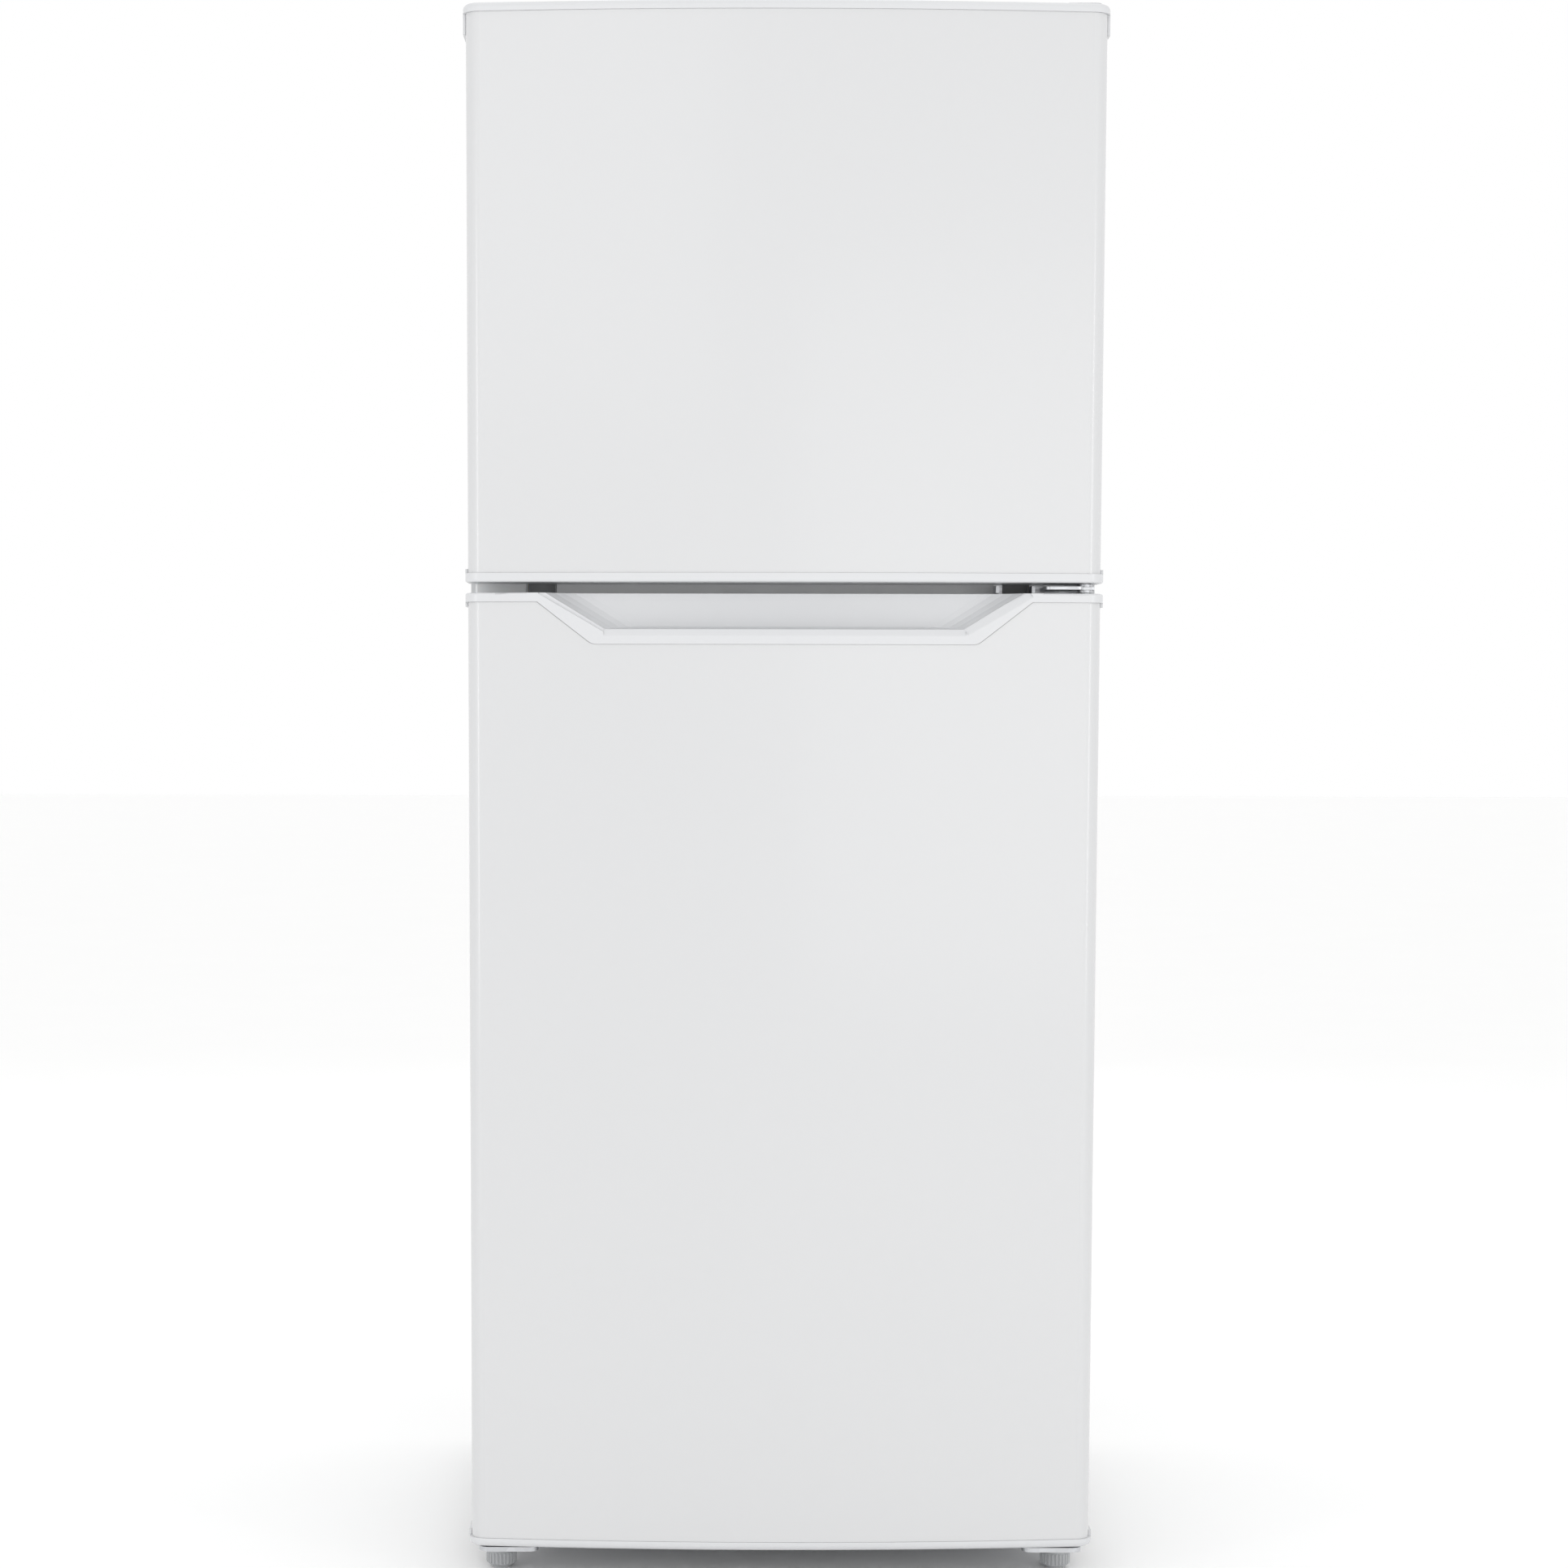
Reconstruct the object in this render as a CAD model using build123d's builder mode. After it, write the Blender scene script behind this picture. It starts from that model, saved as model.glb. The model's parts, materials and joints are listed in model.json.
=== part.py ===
from build123d import *
import os
from math import asin, cos, degrees, radians, sin

# A top freezer refrigerator of the apartment size, doors hinged on the right.
# Millimetres. +X is to the right, -Y is the front, +Z is up. The origin is on the
# floor, under the middle of the overall box.

# ---- overall sizes ----
width = 600.0  # over the door end caps
depth = 650.0  # door face to the rear wall spacers
height = 1500.0  # floor to the top of the hinge cover

# ---- doors ----
freezer_door_height = 531.0
door_gap = 10.0  # between the two doors
door_ground = 38.0  # floor to the lower door
door_edge_thickness = 46.0  # liner to the ends of the crown
door_to_cabinet = 11.0  # bridged by the gasket
crown = 16.0  # bulge of the face over the full width
door_corner = 16.0  # plan radius of the front corners
skin = 1.0  # steel sheet
liner = 1.5  # formed plastic sheet
cap_lip = 8.5  # height of an end cap's front edge
cap_wall = 3.0
cap_side_proud = 2.5  # caps stand out past the skin at the sides
cap_face_proud = 0.8
cap_round = 5.0  # outer edge of the freezer's top cap
cap_gap_round = 2.0  # cap edges that face the gap
cap_foot_round = 6.0  # lower edge of the fridge's bottom cap
skirt_set_back = 13.0  # side skirts start behind the ends of the crown
ear_top = 27.0  # side skirts of the caps
ear_gap = 12.5
ear_foot = 14.0
snug = 0.4  # space between foam and a curved wall
fit = 0.1  # space between flat pieces that seat in one another

# ---- hand pocket in the lower door's top cap ----
pocket_top_half = 228.0
pocket_bottom_half = 169.5
pocket_drop = 34.0
pocket_depth = 28.0
pocket_scoop = 42.0  # how far the end walls curve inward over the depth
pocket_rise = 3.0  # how far its floor climbs towards the back
scoop_steps = 6
pocket_margin = 5.0  # how far its cutting shapes pass the face
pocket_round = 6.0
pocket_border_side = 12.0  # frame of the cap round the pocket
pocket_border_foot = 14.0
bevel_wide = 6.0  # slope round the pocket's mouth
bevel_deep = 3.0

# ---- cabinet ----
base_height = 36.0  # floor to the cabinet's underside
cabinet_over_door = 0.0  # cabinet top above the door's
top_stack = 10.0  # door top to the top of the hinge cover
spacer_depth = 15.0
side_wall = 50.0  # liner to the outside of the wrapper
floor_wall = 48.0
ceiling_wall = 56.0
freezer_back_wall = 60.0
food_back_wall = 48.0
front_flange = 20.0
rail_half = 33.0  # half the centre rail's height
rail_to_liner = 7.0
rail_return = 12.0
rail_sheet = 1.2
hinge_hole = (65.0, 93.0)  # rail hole beside the hinge, from the side
spare_hole = (57.0, 84.0)  # rail hole on the other side, from the side
runner_height = 20.0
machine_depth = 225.0
machine_height = 214.0
machine_wall = 40.0  # step of the liner over the machine compartment
liner_corner = 8.0  # rounded inner edges of the compartments
tube_space = 6.6  # condenser tube's layer behind the foam
foam_joint = 0.2

# ---- hinges and feet ----
pin_radius = 4.0
running = 0.05  # radial clearance of a turning or sliding fit
hinge_plate = 3.0
pivot_from_side = 16.0
pivot_from_edge = 22.0  # behind the ends of the crown
pin_reach = 14.0
boss_radius = 8.0
bush_wall = 2.0
foot_x = 272.5
foot_set_back = 17.0  # behind the cabinet's face
foot_radius = 15.0
foot_height = 15.0  # of the ribbed knob
collar_height = 9.0  # tapers above the knob
foot_ribs = 24
bracket_lip = 4.5  # turned down at the bracket's front
roller_radius = 17.0
roller_width = 14.0

# ---- inside ----
dyke_bar = 22.0
dyke_reach = 58.0
dyke_to_wall = 9.5
gasket_bar = 14.0
gasket_air = 0.4
bin_wall = 2.5
bin_air = 1.5
glass = 4.0
shelf_set_back = 102.0  # cabinet face to the shelves' front
box_set_back = 142.0  # cabinet face to the control box
evaporator_layer = 65.0  # freezer's back wall to the front of its cover
fan_radius = 50.0
fan_blades = 5
box_deep = 170.0
lens_half = 60.0

# ---- places worked out from the sizes above ----
half = width / 2
skin_half = half - cap_side_proud
front = -depth / 2
edge = front + crown
door_back = edge + door_edge_thickness
cabinet_front = door_back + door_to_cabinet
cabinet_back = depth / 2 - spacer_depth
shelf_front = cabinet_front + shelf_set_back
box_front = cabinet_front + box_set_back
box_back = box_front + box_deep
foam_back = cabinet_back - skin - tube_space
freezer_top = height - top_stack
freezer_base = freezer_top - freezer_door_height
fridge_top = freezer_base - door_gap
gap_middle = (freezer_base + fridge_top) / 2
cabinet_top = freezer_top + cabinet_over_door
inner_half = skin_half - side_wall
rail_low = gap_middle - rail_half
rail_high = gap_middle + rail_half
ceiling = rail_low - rail_to_liner
freezer_floor = rail_high + rail_to_liner
freezer_ceiling = cabinet_top - ceiling_wall
food_floor = base_height + floor_wall
freezer_back = cabinet_back - freezer_back_wall
food_back = cabinet_back - food_back_wall
machine_front = cabinet_back - machine_depth
machine_top = base_height + machine_height
step_front = machine_front - machine_wall
step_top = machine_top + floor_wall + 2 * skin
pivot_x = half - pivot_from_side
pivot_y = edge + pivot_from_edge
evaporator_cover_y = freezer_back - evaporator_layer
wall_foam = inner_half + liner + fit
outer_foam = skin_half - skin - fit

X_AXIS = (0, 90, 0)
Y_AXIS = (90, 0, 0)
Z_AXIS = (0, 0, 0)
SIDES = (-1, 1)


def save(builder, label):
    """Name a finished piece and write it."""
    builder.part.label = label
    export_step(builder.part, f"parts/{label}.step")


def block(x, y, z, mode=Mode.ADD):
    """A box from its low and high values along each axis, in either order."""
    centre = tuple((a + b) / 2 for a, b in (x, y, z))
    sizes = [abs(b - a) for a, b in (x, y, z)]
    with Locations(centre):
        Box(*sizes, mode=mode)


def rod(centre, radius, length, turn=Z_AXIS, mode=Mode.ADD):
    """A cylinder about its centre, along Z unless turned."""
    with Locations(Location(centre, turn)):
        Cylinder(radius, length, mode=mode)


def either(side, inner, outer):
    """Low and high X of something that stands on one side of the middle."""
    return (side * inner, side * outer)


def door_plan(z, side_inset, face_inset, back):
    """Plan of a door: straight sides, rounded front corners and a crowned face."""
    edge_x = half - side_inset
    edge_y = edge + face_inset
    with BuildSketch(Plane.XY.offset(z)) as plan:
        with BuildLine():
            face = ThreePointArc((-edge_x, edge_y), (0, front + face_inset), (edge_x, edge_y))
            Polyline(face @ 1, (edge_x, back), (-edge_x, back), face @ 0)
        make_face()
        fillet(plan.vertices().group_by(Axis.Y)[0], door_corner - min(side_inset, face_inset))
    return plan.sketch


def pocket_plan(y, grow_side, grow_foot, corner):
    """Upright outline of the hand pocket, wider at its open top, on a plane that faces front."""
    low = fridge_top - pocket_drop - grow_foot
    top_x = pocket_top_half + grow_side
    low_x = pocket_bottom_half + grow_side * pocket_bottom_half / pocket_top_half
    above = fridge_top + pocket_border_foot
    with BuildSketch(Plane.XZ.offset(-y)) as plan:
        with BuildLine():
            Polyline((-top_x, above), (-top_x, fridge_top), (-low_x, low), (low_x, low),
                     (top_x, fridge_top), (top_x, above), close=True)
        make_face()
        fillet(plan.vertices().group_by(Axis.Y)[0], corner)
    return plan.sketch


def pocket_prism(y_back, grow_side, grow_foot, mode):
    """The pocket's outline carried forward past the face from one depth."""
    outline = pocket_plan(y_back, grow_side, grow_foot, pocket_round + grow_foot / 2)
    extrude(outline, amount=y_back - front + pocket_margin, mode=mode)


pocket_back = front + pocket_depth
housing_back = pocket_back + cap_wall + 1
flange_low = fridge_top - pocket_drop - pocket_border_foot


def dyke_bars(z_low, z_high, inset, y):
    """The four bars of a door liner's raised ring, each shrunk by an inset."""
    outer = inner_half - dyke_to_wall
    inner = outer - dyke_bar
    low, high = z_low + dyke_to_wall, z_high - dyke_to_wall
    bars = [(either(s, inner + inset, outer - inset), y, (low + inset, high - inset)) for s in SIDES]
    across = (-inner - inset, inner + inset)
    bars.append((across, y, (low + inset, low + dyke_bar - inset)))
    bars.append((across, y, (high - dyke_bar + inset, high - inset)))
    return bars


def end_cap(z_edge, up, ear, rounding):
    """A door's moulded end: a tray with a skirt that laps the skin at both sides."""
    base = z_edge - cap_lip if up else z_edge
    with BuildPart() as cap:
        extrude(door_plan(base, 0, 0, door_back), amount=cap_lip)
        rim = cap.edges().group_by(Axis.Z)[-1 if up else 0]
        fillet(rim.filter_by(lambda e: e.center().Y < door_back - 1), rounding)
        hollow = base if up else base + cap_wall
        extrude(door_plan(hollow, cap_wall, cap_wall, door_back - liner),
                amount=cap_lip - cap_wall, mode=Mode.SUBTRACT)
    start = z_edge - ear if up else z_edge + cap_lip
    with BuildPart() as skirt:
        extrude(door_plan(start, 0, 0, door_back), amount=ear - cap_lip)
        extrude(door_plan(start, cap_side_proud - fit, cap_face_proud - fit, door_back + 1),
                amount=ear - cap_lip, mode=Mode.SUBTRACT)
        middle = half - door_corner
        block((-middle, middle), (front - 1, door_back + 1), (start, start + ear), Mode.SUBTRACT)
        block((-half - 1, half + 1), (front - 1, edge + skirt_set_back), (start, start + ear), Mode.SUBTRACT)
    with BuildPart() as whole:
        add(cap.part)
        add(skirt.part)
    return whole.part


def pin_boss(z_edge, up, mode):
    """Round boss for a hinge pin inside an end cap, or the room for it in the foam."""
    spare = 0 if mode == Mode.ADD else snug
    reach = pin_reach + bush_wall + spare
    centre = z_edge - reach / 2 if up else z_edge + reach / 2
    rod((pivot_x, pivot_y, centre), boss_radius + spare, reach, mode=mode)


def pin_bore(z_edge, up):
    """Blind hole for a hinge pin, with running clearance and room past the pin's end."""
    reach = pin_reach + running
    centre = z_edge - reach / 2 if up else z_edge + reach / 2
    rod((pivot_x, pivot_y, centre), pin_radius + running, reach, mode=Mode.SUBTRACT)


def rail_holes(y):
    """The two hinge holes in the centre rail, one used and one spare, with the room behind them."""
    for side, (near, far) in ((-1, spare_hole), (1, hinge_hole)):
        block(either(side, half - far, half - near), (cabinet_front - 4, y + rail_return),
              (gap_middle - 7, gap_middle + 7), Mode.SUBTRACT)


def chamber(y_back, z):
    """The space inside a liner, with rounded edges, as a solid to take away."""
    with BuildPart() as space:
        block((-inner_half, inner_half), (cabinet_front - 1, y_back), z)
        lengthways = space.edges().filter_by(Axis.Y)
        fillet(lengthways + space.edges().group_by(Axis.Y)[-1], liner_corner)
    return space.part


def tray(x, y, z, wall, front_height=None):
    """An open-topped box. Its wall towards the room can be lower than the others."""
    block(x, y, z)
    block((x[0] + wall, x[1] - wall), (y[0] + wall, y[1] - wall), (z[0] + wall, z[1] + 1), Mode.SUBTRACT)
    if front_height:
        block((x[0] + wall, x[1] - wall), (y[1] - 2 * wall, y[1] + 1), (z[0] + front_height, z[1] + 1),
              Mode.SUBTRACT)


os.makedirs("parts", exist_ok=True)

# ======================= cabinet =======================

with BuildPart() as cabinet_shell:
    block((-skin_half, skin_half), (cabinet_front, cabinet_back), (base_height, cabinet_top))
    top_edges = cabinet_shell.edges().filter_by(Axis.Y).group_by(Axis.Z)[-1]
    fillet(top_edges, skin * 2.5)
    block((-skin_half + skin, skin_half - skin), (cabinet_front + skin, cabinet_back + 1),
          (base_height - 1, cabinet_top - skin), Mode.SUBTRACT)
    block((-skin_half + front_flange, skin_half - front_flange), (cabinet_front - 1, cabinet_front + 2),
          (base_height - 1, cabinet_top - front_flange), Mode.SUBTRACT)
save(cabinet_shell, "cabinet_shell")

with BuildPart() as back_panel:
    panel_x = skin_half - skin - fit
    block((-panel_x, panel_x), (cabinet_back - skin, cabinet_back),
          (machine_top + fit, cabinet_top - skin - fit))
    bead_half = panel_x - 60
    for bead_z in (machine_top + 130, cabinet_top - 130):
        block((-bead_half, bead_half), (cabinet_back, cabinet_back + 2), (bead_z - 7, bead_z + 7))
        fillet(back_panel.edges().group_by(Axis.Y)[-1], 1.5)
save(back_panel, "back_panel")

flange_x = skin_half - front_flange - fit

with BuildPart() as base_frame:
    runner_low = base_height
    plate_x = skin_half - skin - fit
    block((-plate_x, plate_x), (cabinet_front + skin + fit, cabinet_back - skin - fit),
          (runner_low, runner_low + 2))
    block((-flange_x, flange_x), (cabinet_front, cabinet_front + rail_sheet),
          (runner_low, food_floor - front_flange))
    for side in SIDES:
        block(either(side, wall_foam, wall_foam + 2), (cabinet_front + 2, machine_front - fit),
              (runner_low, runner_low + runner_height))
    for side in SIDES:
        for ear_x in (foot_x - 22, foot_x - 22 + roller_width + 6):
            block(either(side, ear_x, ear_x + 2), (cabinet_back - 58, cabinet_back - 22), (10, runner_low))
        rod((side * (foot_x - 12), cabinet_back - 40, roller_radius), 3 + running, 60, X_AXIS, Mode.SUBTRACT)
save(base_frame, "base_frame")

foam_front = cabinet_front + liner + fit

with BuildPart() as cabinet_insulation:
    j = foam_joint
    over_machine = machine_top + skin + fit
    across = (-wall_foam + j, wall_foam - j)
    top_foam = cabinet_top - skin - fit
    roof = freezer_ceiling + liner + fit
    food_roof = ceiling + liner + fit
    food_rear = food_back + liner + fit
    for side in SIDES:
        block(either(side, wall_foam, outer_foam), (foam_front, foam_back), (over_machine + j, top_foam))
        block(either(side, wall_foam, outer_foam), (foam_front, machine_front - fit),
              (base_height + runner_height + fit, over_machine))
    block(across, (foam_front, foam_back), (roof, top_foam))
    block(across, (freezer_back + liner + fit, foam_back), (freezer_floor, roof - j))
    block(across, (cabinet_front + rail_return + rail_sheet + fit, foam_back),
          (food_roof, freezer_floor - liner - fit))
    block(across, (cabinet_front + rail_sheet + fit, cabinet_front + rail_return + rail_sheet - fit),
          (rail_low + rail_sheet + fit, rail_high - rail_sheet - fit))
    block(across, (food_rear, foam_back), (step_top, food_roof - j))
    block(across, (step_front + liner + fit, foam_back), (over_machine, step_top - liner - fit))
    block(across, (step_front + liner + fit, machine_front - fit), (base_height + 2 + fit, over_machine - j))
    block(across, (foam_front, step_front + liner - j), (base_height + 2 + fit, food_floor - liner - fit))
    rail_holes(foam_front)
save(cabinet_insulation, "cabinet_insulation")

with BuildPart() as freezer_liner:
    shell_x = inner_half + liner
    block((-shell_x, shell_x), (cabinet_front, freezer_back + liner),
          (freezer_floor - liner, freezer_ceiling + liner))
    block((-flange_x, flange_x), (cabinet_front, cabinet_front + liner),
          (rail_high + fit, cabinet_top - front_flange - fit))
    add(chamber(freezer_back, (freezer_floor, freezer_ceiling)), mode=Mode.SUBTRACT)
save(freezer_liner, "freezer_liner")

with BuildPart() as fresh_food_liner:
    block((-shell_x, shell_x), (cabinet_front, food_back + liner), (step_top - liner, ceiling + liner))
    block((-shell_x, shell_x), (cabinet_front, step_front + liner), (food_floor - liner, ceiling + liner))
    block((-flange_x, flange_x), (cabinet_front, cabinet_front + liner),
          (food_floor - front_flange + fit, rail_low - fit))
    add(chamber(food_back, (step_top, ceiling)), mode=Mode.SUBTRACT)
    add(chamber(step_front, (food_floor, ceiling)), mode=Mode.SUBTRACT)
save(fresh_food_liner, "fresh_food_liner")

with BuildPart() as center_rail:
    block((-flange_x, flange_x), (cabinet_front, cabinet_front + rail_sheet), (rail_low, rail_high))
    for low in (rail_low, rail_high - rail_sheet):
        block(across, (cabinet_front, cabinet_front + rail_return), (low, low + rail_sheet))
    rail_holes(cabinet_front)
save(center_rail, "center_rail")

with BuildPart() as rail_hole_cover:
    block((-half + 7, -half + 56), (cabinet_front - 5, cabinet_front - fit),
          (gap_middle - 12, gap_middle + 12))
    fillet(rail_hole_cover.edges().group_by(Axis.Y)[0], 2)
save(rail_hole_cover, "rail_hole_cover")

# ---- condenser tube behind the foam ----
with BuildPart() as condenser_tube:
    tube_radius = 2.38
    passes = 10
    tube_half = panel_x - 50
    tube_low = machine_top + 60
    pitch = (cabinet_top - 120 - tube_low) / (passes - 1)
    tube_y = foam_back + tube_space / 2
    bend = pitch / 2
    for n in range(passes):
        rod((0, tube_y, tube_low + n * pitch), tube_radius, 2 * (tube_half - bend), X_AXIS)
    for n in range(passes - 1):
        side = 1 if n % 2 == 0 else -1
        centre_z = tube_low + (n + 0.5) * pitch
        with BuildSketch(Plane.YZ.offset(side * (tube_half - bend))):
            with Locations((tube_y, centre_z - bend)):
                Circle(tube_radius)
        revolve(axis=Axis((side * (tube_half - bend), tube_y, centre_z), (0, -side, 0)), revolution_arc=180)
save(condenser_tube, "condenser_tube")

# ======================= hinges, feet and rollers =======================

plate_z = cabinet_top + hinge_plate

with BuildPart() as top_hinge:
    hinge_in = half - 75
    block((hinge_in, half - 7), (cabinet_front + 2, cabinet_front + 80), (cabinet_top, plate_z))
    block((pivot_x - 26, half - 7), (pivot_y - 9, cabinet_front + 10), (cabinet_top, plate_z))
    fillet(top_hinge.edges().filter_by(Axis.Z).group_by(Axis.Y)[0], 7)
    rod((pivot_x, pivot_y, (plate_z + freezer_top - pin_reach + 1) / 2), pin_radius,
        plate_z - freezer_top + pin_reach - 1)
save(top_hinge, "top_hinge")

with BuildPart() as top_hinge_cover:
    cover_x = (hinge_in - 6, half - 4)
    cover_y = (cabinet_front - 3, cabinet_front + 92)
    block(cover_x, cover_y, (cabinet_top, height))
    fillet(top_hinge_cover.edges().filter_by(Axis.Z), 9)
    fillet(top_hinge_cover.edges().group_by(Axis.Z)[-1], 4)
    arm_room = (pivot_x - 27, half - 6)
    block((cover_x[0] + 2, cover_x[1] - 2), (cover_y[0] + 2, cover_y[1] - 2), (cabinet_top - 1, height - 2),
          Mode.SUBTRACT)
    block(arm_room, (cover_y[0] - 1, cover_y[0] + 3), (cabinet_top - 1, plate_z + fit), Mode.SUBTRACT)
save(top_hinge_cover, "top_hinge_cover")

middle_low = gap_middle - 1
hinge_flange = 2.5  # plate that lies on the centre rail
with BuildPart() as middle_hinge:
    flange_y = (cabinet_front - hinge_flange, cabinet_front - fit / 2)
    flange_z = (gap_middle - 15, gap_middle + 15)
    plate_z_span = (middle_low, middle_low + hinge_plate)
    block((half - 93, half - 8), flange_y, flange_z)
    block((pivot_x - 39, pivot_x - 3), (edge + 6, cabinet_front - 2), plate_z_span)
    block((pivot_x - 6, pivot_x + 8), (pivot_y - 8, cabinet_front - 2), plate_z_span)
    fillet(middle_hinge.edges().filter_by(Axis.Z).group_by(Axis.Y)[0], 5)
    hole_x = (half - hinge_hole[1], half - hinge_hole[0])
    for wall_x in (hole_x[0] - 6, hole_x[1]):
        block((wall_x, wall_x + 3), (cabinet_front - 26, cabinet_front - fit / 2),
              (gap_middle - 3.5, gap_middle + 3.5))
    rail_holes(cabinet_front)
    block((hole_x[0] - 6, hole_x[0] + 2), flange_y, flange_z)
    rod((pivot_x, pivot_y, middle_low + hinge_plate / 2), 7, door_gap - 2)
    rod((pivot_x, pivot_y, gap_middle), pin_radius, door_gap + 2 * (pin_reach - 1))
save(middle_hinge, "middle_hinge")

bracket_low = base_height - hinge_plate
foot_y = cabinet_front + foot_set_back
bracket_front = edge + 6


def foot_bracket(side):
    """Plate under a front corner with a turned-down lip and the threaded boss of its foot."""
    across = either(side, foot_x - 39, skin_half - 7)
    with BuildPart() as bracket:
        block(across, (bracket_front, cabinet_front + 60), (base_height - bracket_lip, base_height))
        fillet(bracket.edges().filter_by(Axis.Z).group_by(Axis.Y)[0], 9)
        under = tuple(x - hinge_plate * (1 if x > sum(across) / 2 else -1) for x in across)
        block(under, (bracket_front + hinge_plate, cabinet_front + 61), (0, bracket_low), Mode.SUBTRACT)
        block(across, (foot_y + 20, cabinet_front + 61), (0, bracket_low), Mode.SUBTRACT)
        boss_low = foot_height + collar_height + 1
        rod((side * foot_x, foot_y, (boss_low + base_height) / 2), foot_radius - 4, base_height - boss_low)
        rod((side * foot_x, foot_y, base_height / 2), pin_radius + running, base_height + 2,
            mode=Mode.SUBTRACT)
    return bracket.part


with BuildPart() as bottom_hinge:
    add(foot_bracket(1))
    pin_top = door_ground + pin_reach - 1
    rod((pivot_x, pivot_y, (pin_top + bracket_low) / 2), pin_radius, pin_top - bracket_low)
save(bottom_hinge, "bottom_hinge")

with BuildPart() as left_foot_bracket:
    add(foot_bracket(-1))
save(left_foot_bracket, "left_foot_bracket")

screw_head = 5.0
screw_rim = 1.2
OUTWARD = (Align.CENTER, Align.CENTER, Align.MIN)
INWARD = (Align.CENTER, Align.CENTER, Align.MAX)


def screw(x, y, z, away, radius=screw_head):
    """Domed screw with a cross recess. Its head stands on a point and faces away from it."""
    seat = Plane((x, y, z), x_dir=(1, 0, 0), z_dir=away)
    with Locations(seat):
        Cylinder(radius, screw_rim, align=OUTWARD)
        Cylinder(2.2, 8, align=INWARD)
    with Locations(seat.offset(screw_rim)):
        Cone(radius, radius * 0.6, 1.4, align=OUTWARD)
    with Locations(seat.offset(screw_rim - 0.2)):
        Box(radius, 1.1, 4, align=OUTWARD, mode=Mode.SUBTRACT)
        Box(1.1, radius, 4, align=OUTWARD, mode=Mode.SUBTRACT)


with BuildPart() as hinge_screws:
    for x in (hinge_in + 12, skin_half - 18):
        for y in (cabinet_front + 28, cabinet_front + 62):
            screw(x, y, plate_z, (0, 0, 1))
    for x, z in ((half - 57, gap_middle + 9), (half - 36, gap_middle - 9), (half - 20, gap_middle + 9)):
        screw(x, cabinet_front - hinge_flange, z, (0, -1, 0), screw_head - 1)
    for side in SIDES:
        for x in (foot_x - 28, foot_x + 6):
            screw(side * x, cabinet_front + 48, bracket_low, (0, 0, -1))
save(hinge_screws, "hinge_screws")


def on_knob_foot(circle):
    """True for the lower outer rim of a foot's knob."""
    return circle.radius > foot_radius - 2 and circle.center().Z < foot_height / 2


for side, name in ((-1, "front_foot_left"), (1, "front_foot_right")):
    x = side * foot_x
    knob_low = 2.5
    with BuildPart() as foot:
        rod((x, foot_y, knob_low / 2), foot_radius - 6, knob_low)
        rod((x, foot_y, (knob_low + foot_height) / 2), foot_radius - 1.2, foot_height - knob_low)
        fillet(foot.edges().filter_by(GeomType.CIRCLE).filter_by(on_knob_foot), 2)
        with Locations((x, foot_y, (knob_low + foot_height) / 2 + 1)):
            with PolarLocations(foot_radius - 1.2, foot_ribs):
                Cylinder(1.2, foot_height - knob_low - 2)
        with Locations((x, foot_y, foot_height + collar_height / 2)):
            Cone(foot_radius - 1, foot_radius - 3.5, collar_height)
        stud = base_height - foot_height - 2 * fit
        rod((x, foot_y, foot_height + stud / 2), pin_radius, stud)
    save(foot, name)

roller_y = cabinet_back - 40
roller_x = foot_x - 22 + 2 + (roller_width + 4) / 2
for side, name in ((-1, "rear_roller_left"), (1, "rear_roller_right")):
    with BuildPart() as roller:
        rod((side * roller_x, roller_y, roller_radius), roller_radius, roller_width, X_AXIS)
        fillet(roller.edges().filter_by(GeomType.CIRCLE), 2)
        rod((side * roller_x, roller_y, roller_radius), 3 + running, 40, X_AXIS, Mode.SUBTRACT)
    save(roller, name)

with BuildPart() as roller_axles:
    for side in SIDES:
        rod((side * roller_x, roller_y, roller_radius), 3, roller_width + 12, X_AXIS)
        rod((side * (roller_x + roller_width / 2 + 7), roller_y, roller_radius), 5, 2, X_AXIS)
save(roller_axles, "roller_axles")

with BuildPart() as rear_spacers:
    for side in SIDES:
        spacer = (side * (half - 90), cabinet_back + spacer_depth / 2, cabinet_top - 60)
        rod(spacer, 14, spacer_depth, Y_AXIS)
    fillet(rear_spacers.edges().group_by(Axis.Y)[-1], 3)
save(rear_spacers, "rear_spacers")

# ======================= freezer =======================

shelf_z = (freezer_floor + freezer_ceiling) / 2 - 18
shelf_half = inner_half - 2.5

with BuildPart() as freezer_shelf:
    frame_x = shelf_half
    y0, y1 = shelf_front, evaporator_cover_y - 4
    for bar_y in (y0 + 4, y1 - 4, (y0 + y1) / 2):
        rod((0, bar_y, shelf_z), 3, 2 * frame_x, X_AXIS)
    for side in SIDES:
        rod((side * (frame_x - 3), (y0 + y1) / 2, shelf_z), 3, y1 - y0, Y_AXIS)
    wires = 22
    wire_pitch = 2 * (frame_x - 3) / (wires + 1)
    for n in range(wires):
        x = -frame_x + 3 + (n + 1) * wire_pitch
        rod((x, (y0 + y1) / 2, shelf_z + 2.4), 1.6, y1 - y0 - 2, Y_AXIS)
save(freezer_shelf, "freezer_shelf")

fan_z = freezer_ceiling - 100
fan_hole = fan_radius + 6

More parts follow.
